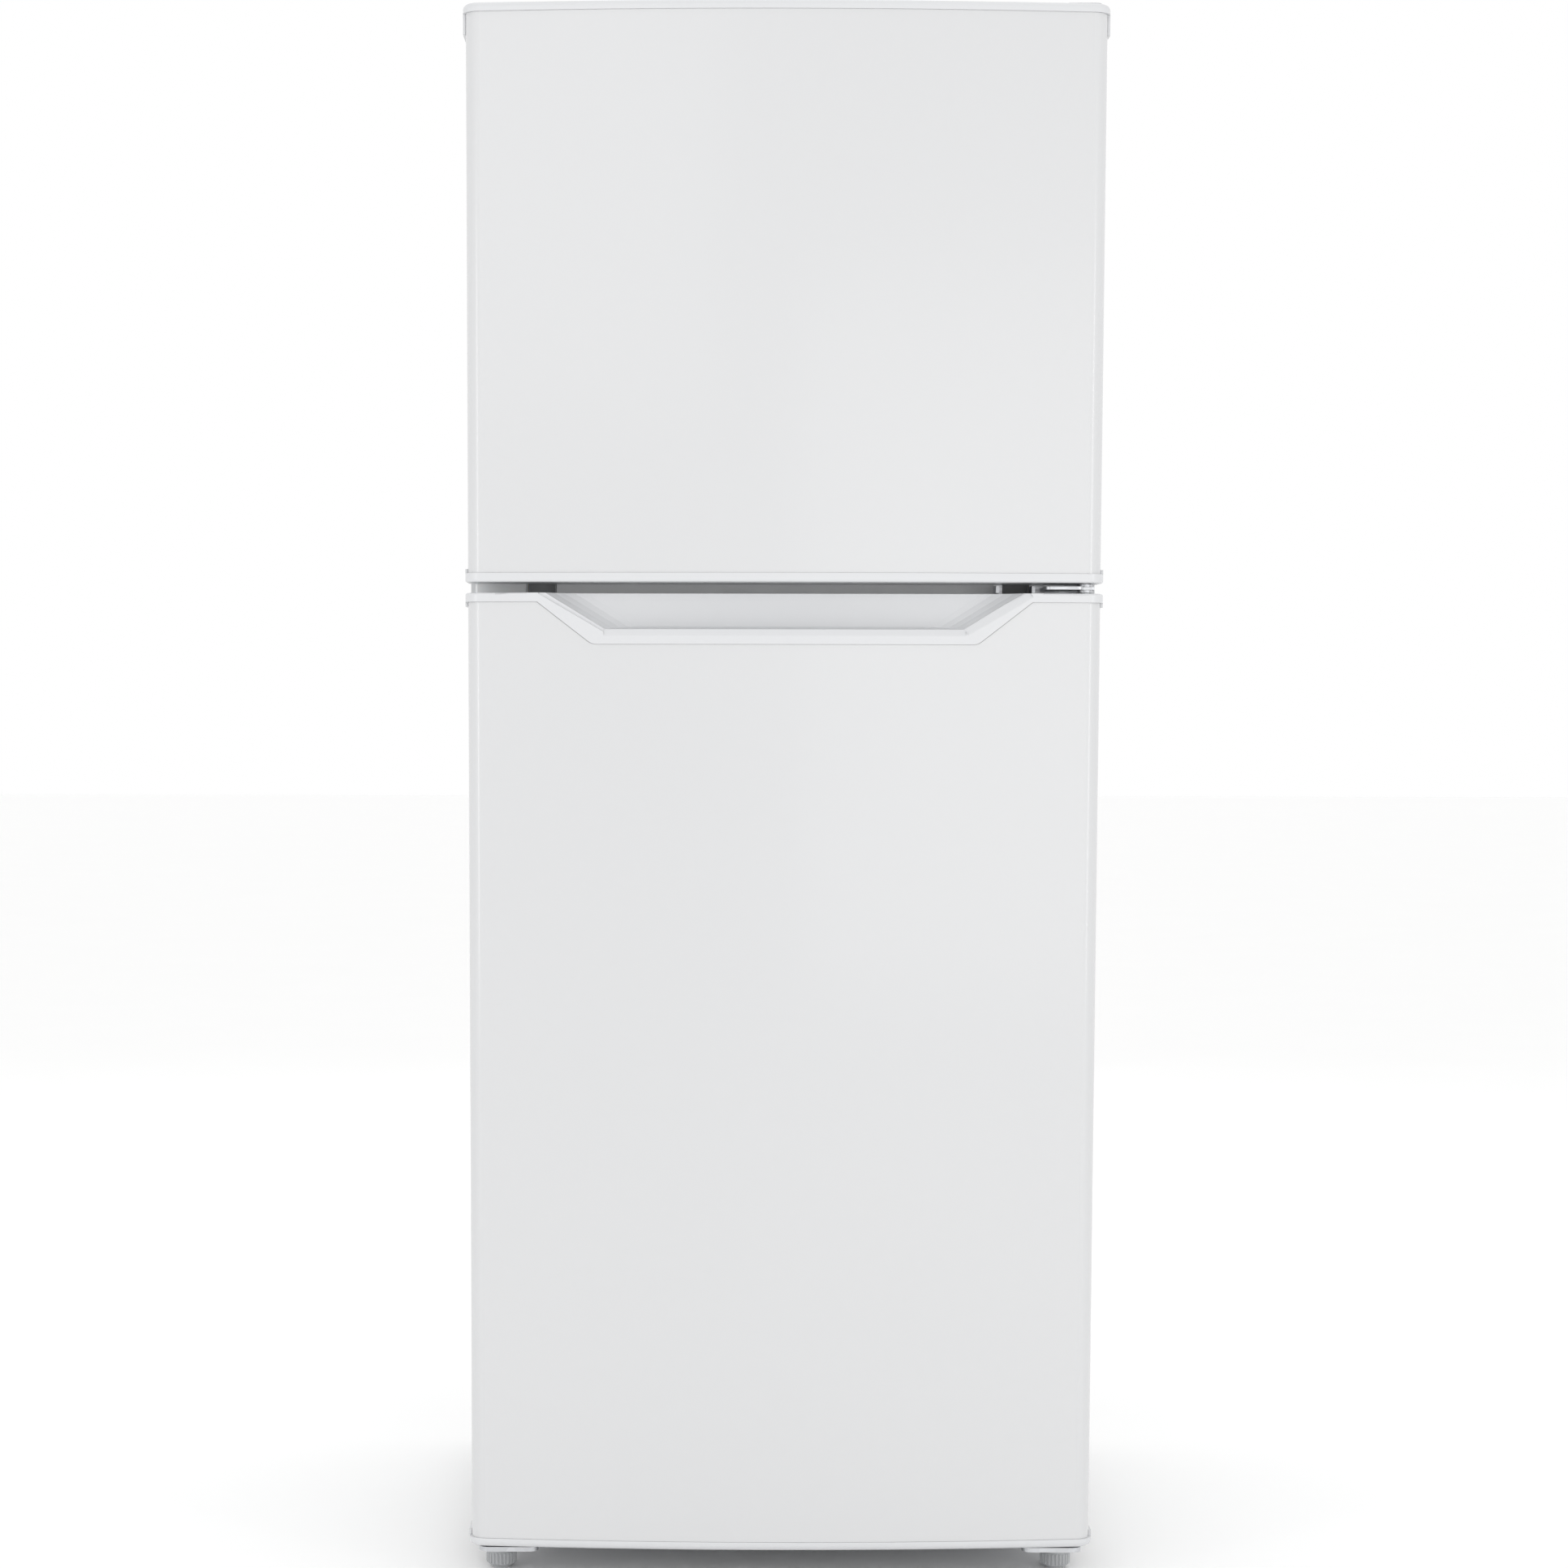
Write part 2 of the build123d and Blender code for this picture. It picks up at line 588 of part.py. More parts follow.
with BuildPart() as evaporator_cover:
    cover_half = inner_half - 1
    cover_sheet = 2.5
    block((-cover_half, cover_half), (evaporator_cover_y, evaporator_cover_y + cover_sheet),
          (freezer_floor + 12, freezer_ceiling - 1))
    fillet(evaporator_cover.edges().filter_by(Axis.Y), liner_corner)
    rod((0, evaporator_cover_y, fan_z), fan_hole, 20, Y_AXIS, Mode.SUBTRACT)
    for ring in (14, 28, 42):
        rod((0, evaporator_cover_y + cover_sheet / 2, fan_z), ring + 1.5, cover_sheet, Y_AXIS)
        rod((0, evaporator_cover_y + cover_sheet / 2, fan_z), ring - 1.5, cover_sheet, Y_AXIS, Mode.SUBTRACT)
    for n in range(8):
        with Locations(Location((0, evaporator_cover_y + cover_sheet / 2, fan_z), (0, n * 45, 0))):
            with Locations((0, 0, (13 + fan_hole + 1) / 2)):
                Box(3, cover_sheet, fan_hole + 1 - 13)
    for n in range(7):
        slot_z = freezer_floor + 24 + n * 6
        slot_half = inner_half - 97.5
        block((-slot_half, slot_half), (evaporator_cover_y - 1, evaporator_cover_y + 4), (slot_z, slot_z + 3),
              Mode.SUBTRACT)
    for rail_z in (freezer_floor + 88, freezer_floor + 106):
        block((-60, 60), (evaporator_cover_y - 3, evaporator_cover_y), (rail_z - 1.5, rail_z + 1.5))
save(evaporator_cover, "evaporator_cover")

with BuildPart() as airflow_slider:
    slide_y = evaporator_cover_y - fit
    slide_z = freezer_floor + 97
    block((-28, 28), (slide_y - 2, slide_y), (slide_z - 7.4, slide_z + 7.4))
    block((-4, 4), (slide_y - 11, slide_y - 2), (slide_z - 6, slide_z + 6))
    fillet(airflow_slider.edges().group_by(Axis.Y)[0], 1.5)
save(airflow_slider, "airflow_slider")

with BuildPart() as evaporator:
    coil_y = (evaporator_cover_y + freezer_back) / 2 + 2
    coil_low = freezer_floor + 36
    coil_half = inner_half - 35
    coil_rows = 6
    row_pitch = 28
    fins = 27
    for n in range(coil_rows):
        rod((0, coil_y, coil_low + n * row_pitch), 4, 2 * coil_half + 6, X_AXIS)
    for n in range(coil_rows - 1):
        side = 1 if n % 2 == 0 else -1
        rod((side * coil_half, coil_y, coil_low + (n + 0.5) * row_pitch), 4, row_pitch, Z_AXIS)
    for n in range(fins):
        fin_x = (n - (fins - 1) / 2) * 2 * (coil_half - 17) / (fins - 1)
        block((fin_x - 0.3, fin_x + 0.3), (coil_y - 24, coil_y + 24),
              (coil_low - 10, coil_low + (coil_rows - 1) * row_pitch + 10))
save(evaporator, "evaporator")

with BuildPart() as defrost_heater:
    heater_z = freezer_floor + 14
    rod((0, coil_y, heater_z), 4, 2 * coil_half - 24, X_AXIS)
    for side in SIDES:
        rod((side * (coil_half - 9), coil_y, heater_z), 7, 12, X_AXIS)
save(defrost_heater, "defrost_heater")

fan_y = evaporator_cover_y + 22
with BuildPart() as evaporator_fan_motor:
    rod((0, freezer_back - 14, fan_z), 26, 28, Y_AXIS)
    fillet(evaporator_fan_motor.edges().filter_by(GeomType.CIRCLE).group_by(Axis.Y)[0], 3)
    shaft_end = fan_y - 6
    rod((0, (freezer_back + shaft_end) / 2, fan_z), 3, freezer_back - shaft_end, Y_AXIS)
    for n in range(3):
        with Locations(Location((0, freezer_back - 3, fan_z), (0, 120 * n, 0))):
            with Locations((0, 0, 35)):
                Box(9, 6, 40)
save(evaporator_fan_motor, "evaporator_fan_motor")

with BuildPart() as evaporator_fan:
    rod((0, fan_y, fan_z), 14, 12, Y_AXIS)
    for n in range(fan_blades):
        with Locations(Location((0, fan_y, fan_z), (0, n * 360 / fan_blades, 0))):
            with Locations(Location((0, 0, (fan_radius + 10) / 2), (0, 0, 35))):
                Box(26, 1.6, fan_radius - 10)
    rod((0, fan_y, fan_z), 3 + running, 30, Y_AXIS, Mode.SUBTRACT)
save(evaporator_fan, "evaporator_fan")

# ======================= fresh food =======================

food_shelf_zs = [step_top + (ceiling - step_top) * k for k in (0.3, 0.61)]
cover_z = step_top + 3.5
trim_back = food_back - 5

with BuildPart() as shelf_glass:
    for z in food_shelf_zs:
        block((-shelf_half + 4, shelf_half - 4), (shelf_front + 6, trim_back - 6), (z, z + glass))
    pane_gap = 8 + 2 * fit
    block((pane_gap - shelf_half, shelf_half - pane_gap), (shelf_front + 4 + pane_gap, trim_back - pane_gap),
          (cover_z + 3, cover_z + 3 + glass))
save(shelf_glass, "shelf_glass")

with BuildPart() as shelf_trims:
    for z in food_shelf_zs:
        for y0, y1 in ((shelf_front, shelf_front + 14), (trim_back - 14, trim_back)):
            block((-shelf_half, shelf_half), (y0, y1), (z - 4, z + glass + 4))
        block((-shelf_half + 4, shelf_half - 4), (shelf_front + 6, trim_back - 6),
              (z - fit / 2, z + glass + fit / 2), Mode.SUBTRACT)
        block((-shelf_half - 1, shelf_half + 1), (shelf_front + 12, trim_back - 12), (z - 1, z + glass + 5),
              Mode.SUBTRACT)
    front_edges = shelf_trims.edges().group_by(Axis.Y)[0].filter_by(Axis.X)
    fillet(front_edges, 2.5)
    block((-shelf_half, shelf_half), (shelf_front + 2, trim_back), (cover_z, cover_z + 8))
    block((-shelf_half + 12, shelf_half - 12), (shelf_front + 16, trim_back - 12), (cover_z - 1, cover_z + 9),
          Mode.SUBTRACT)
    block((-shelf_half + 8, shelf_half - 8), (shelf_front + 12, trim_back - 8), (cover_z + 3, cover_z + 9),
          Mode.SUBTRACT)
save(shelf_trims, "shelf_trims")

with BuildPart() as shelf_rails:
    ledge = (inner_half - 9, inner_half)
    for side in SIDES:
        for z in food_shelf_zs:
            block(either(side, *ledge), (shelf_front + 16, food_back - 20), (z - 14, z - 4))
        block(either(side, *ledge), (shelf_front + 16, evaporator_cover_y - 6), (shelf_z - 14, shelf_z - 3))
        block(either(side, *ledge), (shelf_front + 16, step_front - liner_corner - 2),
              (cover_z - 12, cover_z - 0.5))
    fillet(shelf_rails.edges().filter_by(Axis.Z).group_by(Axis.Y)[0], 3)
save(shelf_rails, "shelf_rails")


crisper_half = inner_half - 15
crisper_front = shelf_front + 10
crisper_z = (food_floor + 6, cover_z - 16)

with BuildPart() as crisper_drawer:
    tray((-crisper_half, crisper_half), (crisper_front, step_front - 8), crisper_z, bin_wall)
    grip_z = crisper_z[1]
    block((-crisper_half, crisper_half), (crisper_front - 12, crisper_front), (grip_z - 26, grip_z))
    block((3 - crisper_half, crisper_half - 3), (crisper_front - 9, crisper_front), (grip_z - 27, grip_z - 3),
          Mode.SUBTRACT)
    fillet(crisper_drawer.edges().filter_by(Axis.Z).group_by(Axis.Y)[0], 2.5)
save(crisper_drawer, "crisper_drawer")

box_low = ceiling - 42
box_half = 120
lens_y = (box_front + 70, box_back - 30)
dial_z = box_low + 21

with BuildPart() as control_box:
    block((-box_half, box_half), (box_front, box_back), (box_low, ceiling - fit))
    fillet(control_box.edges().filter_by(Axis.Z), 8)
    block((3 - box_half, box_half - 3), (box_front + 3, box_back - 3), (box_low + 3, ceiling + 1),
          Mode.SUBTRACT)
    block((-lens_half, lens_half), lens_y, (box_low - 1, box_low + 4), Mode.SUBTRACT)
    rod((0, box_front + 5, dial_z), 4 + running, 20, Y_AXIS, Mode.SUBTRACT)
save(control_box, "control_box")

with BuildPart() as lamp_lens:
    lens_gap = 2 * fit
    block((lens_gap - lens_half, lens_half - lens_gap), (lens_y[0] + lens_gap, lens_y[1] - lens_gap),
          (box_low - 5, box_low + 2.5))
    fillet(lamp_lens.edges().group_by(Axis.Z)[0], 2)
save(lamp_lens, "lamp_lens")

with BuildPart() as thermostat_dial:
    rod((0, box_front - 6.2, dial_z), 16, 12, Y_AXIS)
    fillet(thermostat_dial.edges().filter_by(GeomType.CIRCLE).group_by(Axis.Y)[0], 1.5)
    block((-2.5, 2.5), (box_front - 17, box_front - 12), (dial_z - 13, dial_z + 15))
    rod((0, box_front + 2, dial_z), 4, 10, Y_AXIS)
save(thermostat_dial, "thermostat_dial")

switch_x = inner_half - 52
dyke_face = door_back + dyke_reach
switch_front = dyke_face + 16

with BuildPart() as door_switch:
    block((switch_x - 15, switch_x + 15), (switch_front, switch_front + 42), (ceiling - 38, ceiling - fit))
    fillet(door_switch.edges().filter_by(Axis.Z), 3)
    block((switch_x - 5 - running, switch_x + 5 + running), (switch_front - 1, switch_front + 28),
          (ceiling - 24 - running, ceiling - 16 + running), Mode.SUBTRACT)
save(door_switch, "door_switch")

with BuildPart() as door_switch_plunger:
    plunger_back = switch_front + 24
    block((switch_x - 5, switch_x + 5), (dyke_face + snug, plunger_back), (ceiling - 24, ceiling - 16))
    fillet(door_switch_plunger.edges().group_by(Axis.Y)[0].filter_by(Axis.X), 2)
save(door_switch_plunger, "door_switch_plunger")

# ======================= machine compartment =======================

compressor_x = 90.0
compressor_y = machine_front + 118
dome_radius = 72.0
dome_low = base_height + 20

with BuildPart() as compressor:
    with BuildSketch(Plane.XY.offset(dome_low)):
        with Locations((compressor_x, compressor_y)):
            Ellipse(dome_radius * 1.25, dome_radius)
    extrude(amount=130)
    fillet(compressor.edges().group_by(Axis.Z)[-1], 30)
    fillet(compressor.edges().group_by(Axis.Z)[0], 14)
    block((compressor_x - 96, compressor_x + 96), (compressor_y - 62, compressor_y + 62),
          (dome_low - 4, dome_low))
    block((compressor_x - 92, compressor_x + 92), (compressor_y - 5, compressor_y + 5),
          (dome_low - 4, dome_low + 14))
    with BuildSketch(Plane.XY.offset(dome_low + 68)):
        with Locations((compressor_x, compressor_y)):
            Ellipse(dome_radius * 1.25 + 3, dome_radius + 3)
    extrude(amount=5)
save(compressor, "compressor")

with BuildPart() as compressor_grommets:
    for sx in SIDES:
        for sy in SIDES:
            rod((compressor_x + sx * 84, compressor_y + sy * 52, (base_height + 2 + dome_low - 4) / 2), 9,
                dome_low - 6 - base_height)
save(compressor_grommets, "compressor_grommets")

with BuildPart() as compressor_terminal_cover:
    terminal_x = compressor_x - dome_radius * 1.25 - 3
    block((terminal_x - 26, terminal_x - 0.5), (compressor_y - 26, compressor_y + 26),
          (dome_low + 18, dome_low + 90))
    fillet(compressor_terminal_cover.edges().filter_by(Axis.Y), 5)
save(compressor_terminal_cover, "compressor_terminal_cover")

pan_z = dome_low + 140

with BuildPart() as drip_pan:
    tray((compressor_x - 100, compressor_x + 100), (compressor_y - 60, compressor_y + 60),
         (pan_z, pan_z + 30), 2)
    for sx in SIDES:
        rod((compressor_x + sx * 20, compressor_y, pan_z - 4), 6, 10)
save(drip_pan, "drip_pan")

with BuildPart() as refrigerant_lines:
    line_y = compressor_y + 40
    drier_x = compressor_x - 190
    drier_radius = 9
    with BuildLine() as route:
        FilletPolyline(
            (drier_x, line_y, dome_low + 160), (drier_x, line_y, dome_low + 40),
            (drier_x + 70, line_y, dome_low + 40), (drier_x + 70, line_y, dome_low + 8),
            (compressor_x - 60, line_y + 30, dome_low + 8), radius=9)
    with BuildSketch(Plane(origin=route.line @ 0, z_dir=route.line % 0)):
        Circle(3)
    sweep()
    rod((drier_x, line_y, dome_low + 110), drier_radius, 62)
    ends = refrigerant_lines.edges().filter_by(GeomType.CIRCLE)
    fillet(ends.filter_by(lambda e: abs(e.radius - drier_radius) < fit), 4)
save(refrigerant_lines, "refrigerant_lines")

gland_x = -skin_half + 90

with BuildPart() as machine_cover:
    cover_low = base_height + 4
    vent_start = gland_x + 47
    vent_pitch = (panel_x - 78 - vent_start) / 9
    block((-panel_x, panel_x), (cabinet_back - skin, cabinet_back), (cover_low, machine_top))
    for row in range(6):
        for column in range(10):
            slot_x = vent_start + column * vent_pitch
            slot_z = cover_low + 36 + row * 24
            block((slot_x - 15, slot_x + 15), (cabinet_back - 3, cabinet_back + 2), (slot_z, slot_z + 6),
                  Mode.SUBTRACT)
    rod((gland_x, cabinet_back, cover_low + 40), 9 + fit, 10, Y_AXIS, Mode.SUBTRACT)
save(machine_cover, "machine_cover")

with BuildPart() as cord_grommet:
    rod((gland_x, cabinet_back - 1, cover_low + 40), 9, 10, Y_AXIS)
    rod((gland_x, cabinet_back + 2.1, cover_low + 40), 12, 4, Y_AXIS)
    fillet(cord_grommet.edges().group_by(Axis.Y)[-1], 1.5)
    rod((gland_x, cabinet_back, cover_low + 40), 3.8, 30, Y_AXIS, Mode.SUBTRACT)
save(cord_grommet, "cord_grommet")

# ======================= doors =======================


def door_skin(z_low, z_high):
    """Steel sheet round a door's face and sides, between its end caps."""
    tall = z_high - z_low - 2 * cap_lip - 2 * fit
    start = z_low + cap_lip + fit
    with BuildPart() as sheet:
        extrude(door_plan(start, cap_side_proud, cap_face_proud, door_back), amount=tall)
        extrude(door_plan(start, cap_side_proud + skin, cap_face_proud + skin, door_back + 1),
                amount=tall, mode=Mode.SUBTRACT)
    return sheet.part


def door_liner(z_low, z_high, box_low, box_high):
    """Plastic back of a door with its raised ring, hollow behind for the foam."""
    panel = (-outer_foam, outer_foam)
    with BuildPart() as sheet:
        for bar in dyke_bars(box_low, box_high, 0, (door_back - liner, dyke_face)):
            block(*bar)
        fillet(sheet.edges().group_by(Axis.Y)[-1], 3)
        block(panel, (door_back - liner, door_back), (z_low + cap_lip + fit, z_high - cap_lip - fit))
        for bar in dyke_bars(box_low, box_high, liner, (door_back - liner - 1, dyke_face - liner)):
            block(*bar, Mode.SUBTRACT)
    return sheet.part


def gasket(z_low, z_high):
    """Magnetic seal: a soft ring with a waist, just clear of the cabinet."""
    face = cabinet_front - gasket_air
    outer = pivot_x
    waist = (door_back + 3, face - 4)
    with BuildPart() as seal:
        for grow, y in ((0, (door_back, waist[0])), (-2.5, waist), (0, (waist[1], face))):
            block((-outer - grow, outer + grow), y, (z_low - grow, z_high + grow))
        for grow, y in ((0, (door_back - 1, waist[0])), (2.5, waist), (0, (waist[1], face + 1))):
            inner = outer - gasket_bar + grow
            block((-inner, inner), y, (z_low + gasket_bar - grow, z_high - gasket_bar + grow), Mode.SUBTRACT)
    return seal.part


def dyke_cores(box_low, box_high):
    """Foam inside the raised ring, one slab for each bar."""
    for bar in dyke_bars(box_low, box_high, liner + fit, (door_back - liner + fit, dyke_face - liner - fit)):
        x, y, z = bar
        if x[0] + x[1] == 0:
            x = (x[0] + 2 * liner + 4 * fit, x[1] - 2 * liner - 4 * fit)
        block(x, y, z)


def slab(z_low, z_high):
    """Foam between a door's skin and its liner over one stretch of height."""
    extrude(door_plan(z_low, cap_side_proud + skin + snug, cap_wall + snug, door_back - liner - snug),
            amount=z_high - z_low)


def bin_tray(z, tall, reach):
    """Door bin that hangs between the two upright bars of the ring."""
    x = inner_half - dyke_to_wall - dyke_bar - bin_air
    y = (door_back + fit, door_back + reach)
    with BuildPart() as body:
        tray((-x, x), y, (z, z + tall), bin_wall)
        fillet(body.edges().filter_by(Axis.Z).group_by(Axis.Y)[-1], 2)
        slots_low = z + tall * 0.45
        block((14 - x, x - 14), (y[1] - 2 * bin_wall, y[1] + 1), (slots_low, slots_low + tall * 0.2),
              Mode.SUBTRACT)
    return body.part


freezer_gasket_z = (freezer_base + 16, cabinet_top - 8)
fridge_gasket_z = (food_floor - 32, fridge_top - 16)

# ---- freezer door ----
with BuildPart() as freezer_door_skin:
    add(door_skin(freezer_base, freezer_top))
save(freezer_door_skin, "freezer_door_skin")

with BuildPart() as freezer_door_top_cap:
    add(end_cap(freezer_top, True, ear_top, cap_round))
    pin_boss(freezer_top - cap_wall, True, Mode.ADD)
    pin_bore(freezer_top, True)
save(freezer_door_top_cap, "freezer_door_top_cap")

with BuildPart() as freezer_door_bottom_cap:
    add(end_cap(freezer_base, False, ear_gap, cap_gap_round))
    pin_boss(freezer_base + cap_wall, False, Mode.ADD)
    pin_bore(freezer_base, False)
save(freezer_door_bottom_cap, "freezer_door_bottom_cap")

with BuildPart() as freezer_door_liner:
    add(door_liner(freezer_base, freezer_top, freezer_floor, freezer_ceiling))
save(freezer_door_liner, "freezer_door_liner")

with BuildPart() as freezer_door_insulation:
    slab(freezer_base + cap_wall + snug, freezer_top - cap_wall - snug)
    pin_boss(freezer_top - cap_wall, True, Mode.SUBTRACT)
    pin_boss(freezer_base + cap_wall, False, Mode.SUBTRACT)
    dyke_cores(freezer_floor, freezer_ceiling)
save(freezer_door_insulation, "freezer_door_insulation")

with BuildPart() as freezer_door_gasket:
    add(gasket(*freezer_gasket_z))
save(freezer_door_gasket, "freezer_door_gasket")

freezer_bin_low = freezer_floor + dyke_to_wall + dyke_bar + 4
freezer_bin_high = shelf_z + 22
with BuildPart() as freezer_door_bins:
    add(bin_tray(freezer_bin_low, 84, 96))
    add(bin_tray(freezer_bin_high, 76, 96))
save(freezer_door_bins, "freezer_door_bins")


# ---- fridge door ----
with BuildPart() as fridge_door_skin:
    add(door_skin(door_ground, fridge_top))
    pocket_prism(housing_back, pocket_border_side + 3 + snug, pocket_border_foot + fit, Mode.SUBTRACT)
save(fridge_door_skin, "fridge_door_skin")

with BuildPart() as pocket_housing:
    extrude(door_plan(flange_low, 0, 0, door_back), amount=fridge_top - flange_low)
    pocket_prism(housing_back, pocket_border_side + 3, pocket_border_foot, Mode.INTERSECT)


def pocket_section(turn):
    """The pocket's outline at one step round its quarter-ellipse ends, 0 at the face and 90 at the back."""
    deep = front + pocket_depth * sin(radians(turn))
    share = 1 - cos(radians(turn))
    return pocket_plan(deep, -pocket_scoop * share, -pocket_rise * share, pocket_round)


with BuildPart() as pocket_void:
    sections = [pocket_section(90 * n / scoop_steps) for n in range(scoop_steps + 1)]
    loft([pocket_plan(front - 2, 0, 0, pocket_round)] + sections, ruled=True)

pocket_low = fridge_top - pocket_drop
face_radius = (half ** 2 + crown ** 2) / (2 * crown)


def face_y(x):
    """Depth of the crowned face at a distance from the door's middle."""
    return front + face_radius - (face_radius ** 2 - x ** 2) ** 0.5


def bevel_profile(plane):
    """Triangle that slopes the pocket's mouth: X away from the pocket, Y into the door."""
    lead = 2.0
    with BuildSketch(plane) as wedge:
        with BuildLine():
            Polyline((-lead, bevel_deep * (1 + lead / bevel_wide)), (-lead, -lead),
                     (bevel_wide * (1 + lead / bevel_deep), -lead), close=True)
        make_face()
    return wedge.sketch


with BuildPart() as pocket_bevel:
    sweep_angle = 2 * degrees(asin(pocket_bottom_half / face_radius))
    low_edge = Plane(origin=(0, front, pocket_low), x_dir=(0, 0, -1), z_dir=(1, 0, 0))
    spine = Axis((0, front + face_radius, 0), (0, 0, 1))
    revolve(bevel_profile(low_edge).rotate(spine, -sweep_angle / 2), axis=spine, revolution_arc=sweep_angle)
    for side in SIDES:
        low = Vector(side * pocket_bottom_half, face_y(pocket_bottom_half), pocket_low)
        high = Vector(side * pocket_top_half, face_y(pocket_top_half), fridge_top)
        along = (high - low).normalized()
        away = Vector(0, 1, 0).cross(along) * side
        wedge = bevel_profile(Plane(origin=low - along, x_dir=away * side, z_dir=along * side))
        extrude(wedge, amount=side * ((high - low).length + 3))

with BuildPart() as fridge_door_top_cap:
    add(end_cap(fridge_top, True, ear_gap, cap_gap_round))
    add(pocket_housing.part)
    pin_boss(fridge_top - cap_wall, True, Mode.ADD)
    add(pocket_void.part, mode=Mode.SUBTRACT)
    add(pocket_bevel.part, mode=Mode.SUBTRACT)
    pin_bore(fridge_top, True)
    block((-half, half), (front - 1, door_back + 1), (fridge_top, fridge_top + 2 * pocket_border_foot),
          Mode.SUBTRACT)
save(fridge_door_top_cap, "fridge_door_top_cap")

with BuildPart() as fridge_door_bottom_cap:
    add(end_cap(door_ground, False, ear_foot, cap_foot_round))
    pin_boss(door_ground + cap_wall, False, Mode.ADD)
    pin_bore(door_ground, False)
save(fridge_door_bottom_cap, "fridge_door_bottom_cap")

with BuildPart() as fridge_door_liner:
    add(door_liner(door_ground, fridge_top, food_floor, ceiling))
save(fridge_door_liner, "fridge_door_liner")

with BuildPart() as corner_foam:
    slab(flange_low - snug + foam_joint, fridge_top - cap_wall - snug)
    middle = pocket_top_half + pocket_border_side + 3 + snug
    block((-half, half), (housing_back + snug, door_back), (flange_low - 1, fridge_top), Mode.SUBTRACT)
    block((-middle, middle), (front, door_back), (flange_low - 1, fridge_top), Mode.SUBTRACT)

with BuildPart() as fridge_door_insulation:
    slab(door_ground + cap_wall + snug, flange_low - snug)
    foam_x = half - cap_side_proud - skin - snug
    block((-foam_x, foam_x), (housing_back + snug + foam_joint, door_back - liner - snug),
          (flange_low - snug + foam_joint, fridge_top - cap_wall - snug))
    add(corner_foam.part)
    pin_boss(fridge_top - cap_wall, True, Mode.SUBTRACT)
    pin_boss(door_ground + cap_wall, False, Mode.SUBTRACT)
    dyke_cores(food_floor, ceiling)
save(fridge_door_insulation, "fridge_door_insulation")

with BuildPart() as fridge_door_gasket:
    add(gasket(*fridge_gasket_z))
save(fridge_door_gasket, "fridge_door_gasket")

bin_bottom_z = food_floor + dyke_to_wall + dyke_bar + 4
with BuildPart() as fridge_door_bins:
    add(bin_tray(bin_bottom_z, 130, 98))
    add(bin_tray(food_shelf_zs[0] - 60, 84, 98))
save(fridge_door_bins, "fridge_door_bins")


# ---- dairy bin and its lid ----
lid_pivot_y = door_back + 12
lid_pivot_z = food_shelf_zs[1] + 90
lid_reach = 83.0
lid_drop = 44.0
dairy_half = inner_half - dyke_to_wall - dyke_bar - bin_air
dairy_low = lid_pivot_z - 78

with BuildPart() as dairy_bin:
    tray((-dairy_half, dairy_half), (door_back + fit, lid_pivot_y + lid_reach - 1),
         (dairy_low, lid_pivot_z + 6), bin_wall)
    block((-dairy_half + bin_wall, dairy_half - bin_wall), (lid_pivot_y - 6, lid_pivot_y + lid_reach + 9),
          (lid_pivot_z - lid_drop - 4, lid_pivot_z + 9), Mode.SUBTRACT)
    block((-dairy_half - 1, dairy_half + 1), (lid_pivot_y + 8, lid_pivot_y + lid_reach + 9),
          (lid_pivot_z - 8, lid_pivot_z + 9), Mode.SUBTRACT)
    rod((0, lid_pivot_y, lid_pivot_z), 2.5 + running, 2 * dairy_half + 10, X_AXIS, Mode.SUBTRACT)
save(dairy_bin, "dairy_bin")

with BuildPart() as dairy_lid:
    lid_half = dairy_half - bin_wall - 0.6
    block((-lid_half, lid_half), (lid_pivot_y - 2, lid_pivot_y + lid_reach),
          (lid_pivot_z + 0.5, lid_pivot_z + 3))
    block((-lid_half, lid_half), (lid_pivot_y + lid_reach - 2.5, lid_pivot_y + lid_reach),
          (lid_pivot_z - lid_drop, lid_pivot_z + 3))
    fillet(dairy_lid.edges().filter_by(Axis.X).group_by(Axis.Y)[-1].group_by(Axis.Z)[-1], 2)
    for side in SIDES:
        rod((side * (lid_half - 3), lid_pivot_y, lid_pivot_z), 3.2, 6, X_AXIS)
    rod((0, lid_pivot_y, lid_pivot_z), 2.5, 2 * dairy_half - 0.4, X_AXIS)
save(dairy_lid, "dairy_lid")

print("places: pivot", pivot_x, pivot_y, "lid", lid_pivot_y, lid_pivot_z, "fan", fan_y, fan_z)
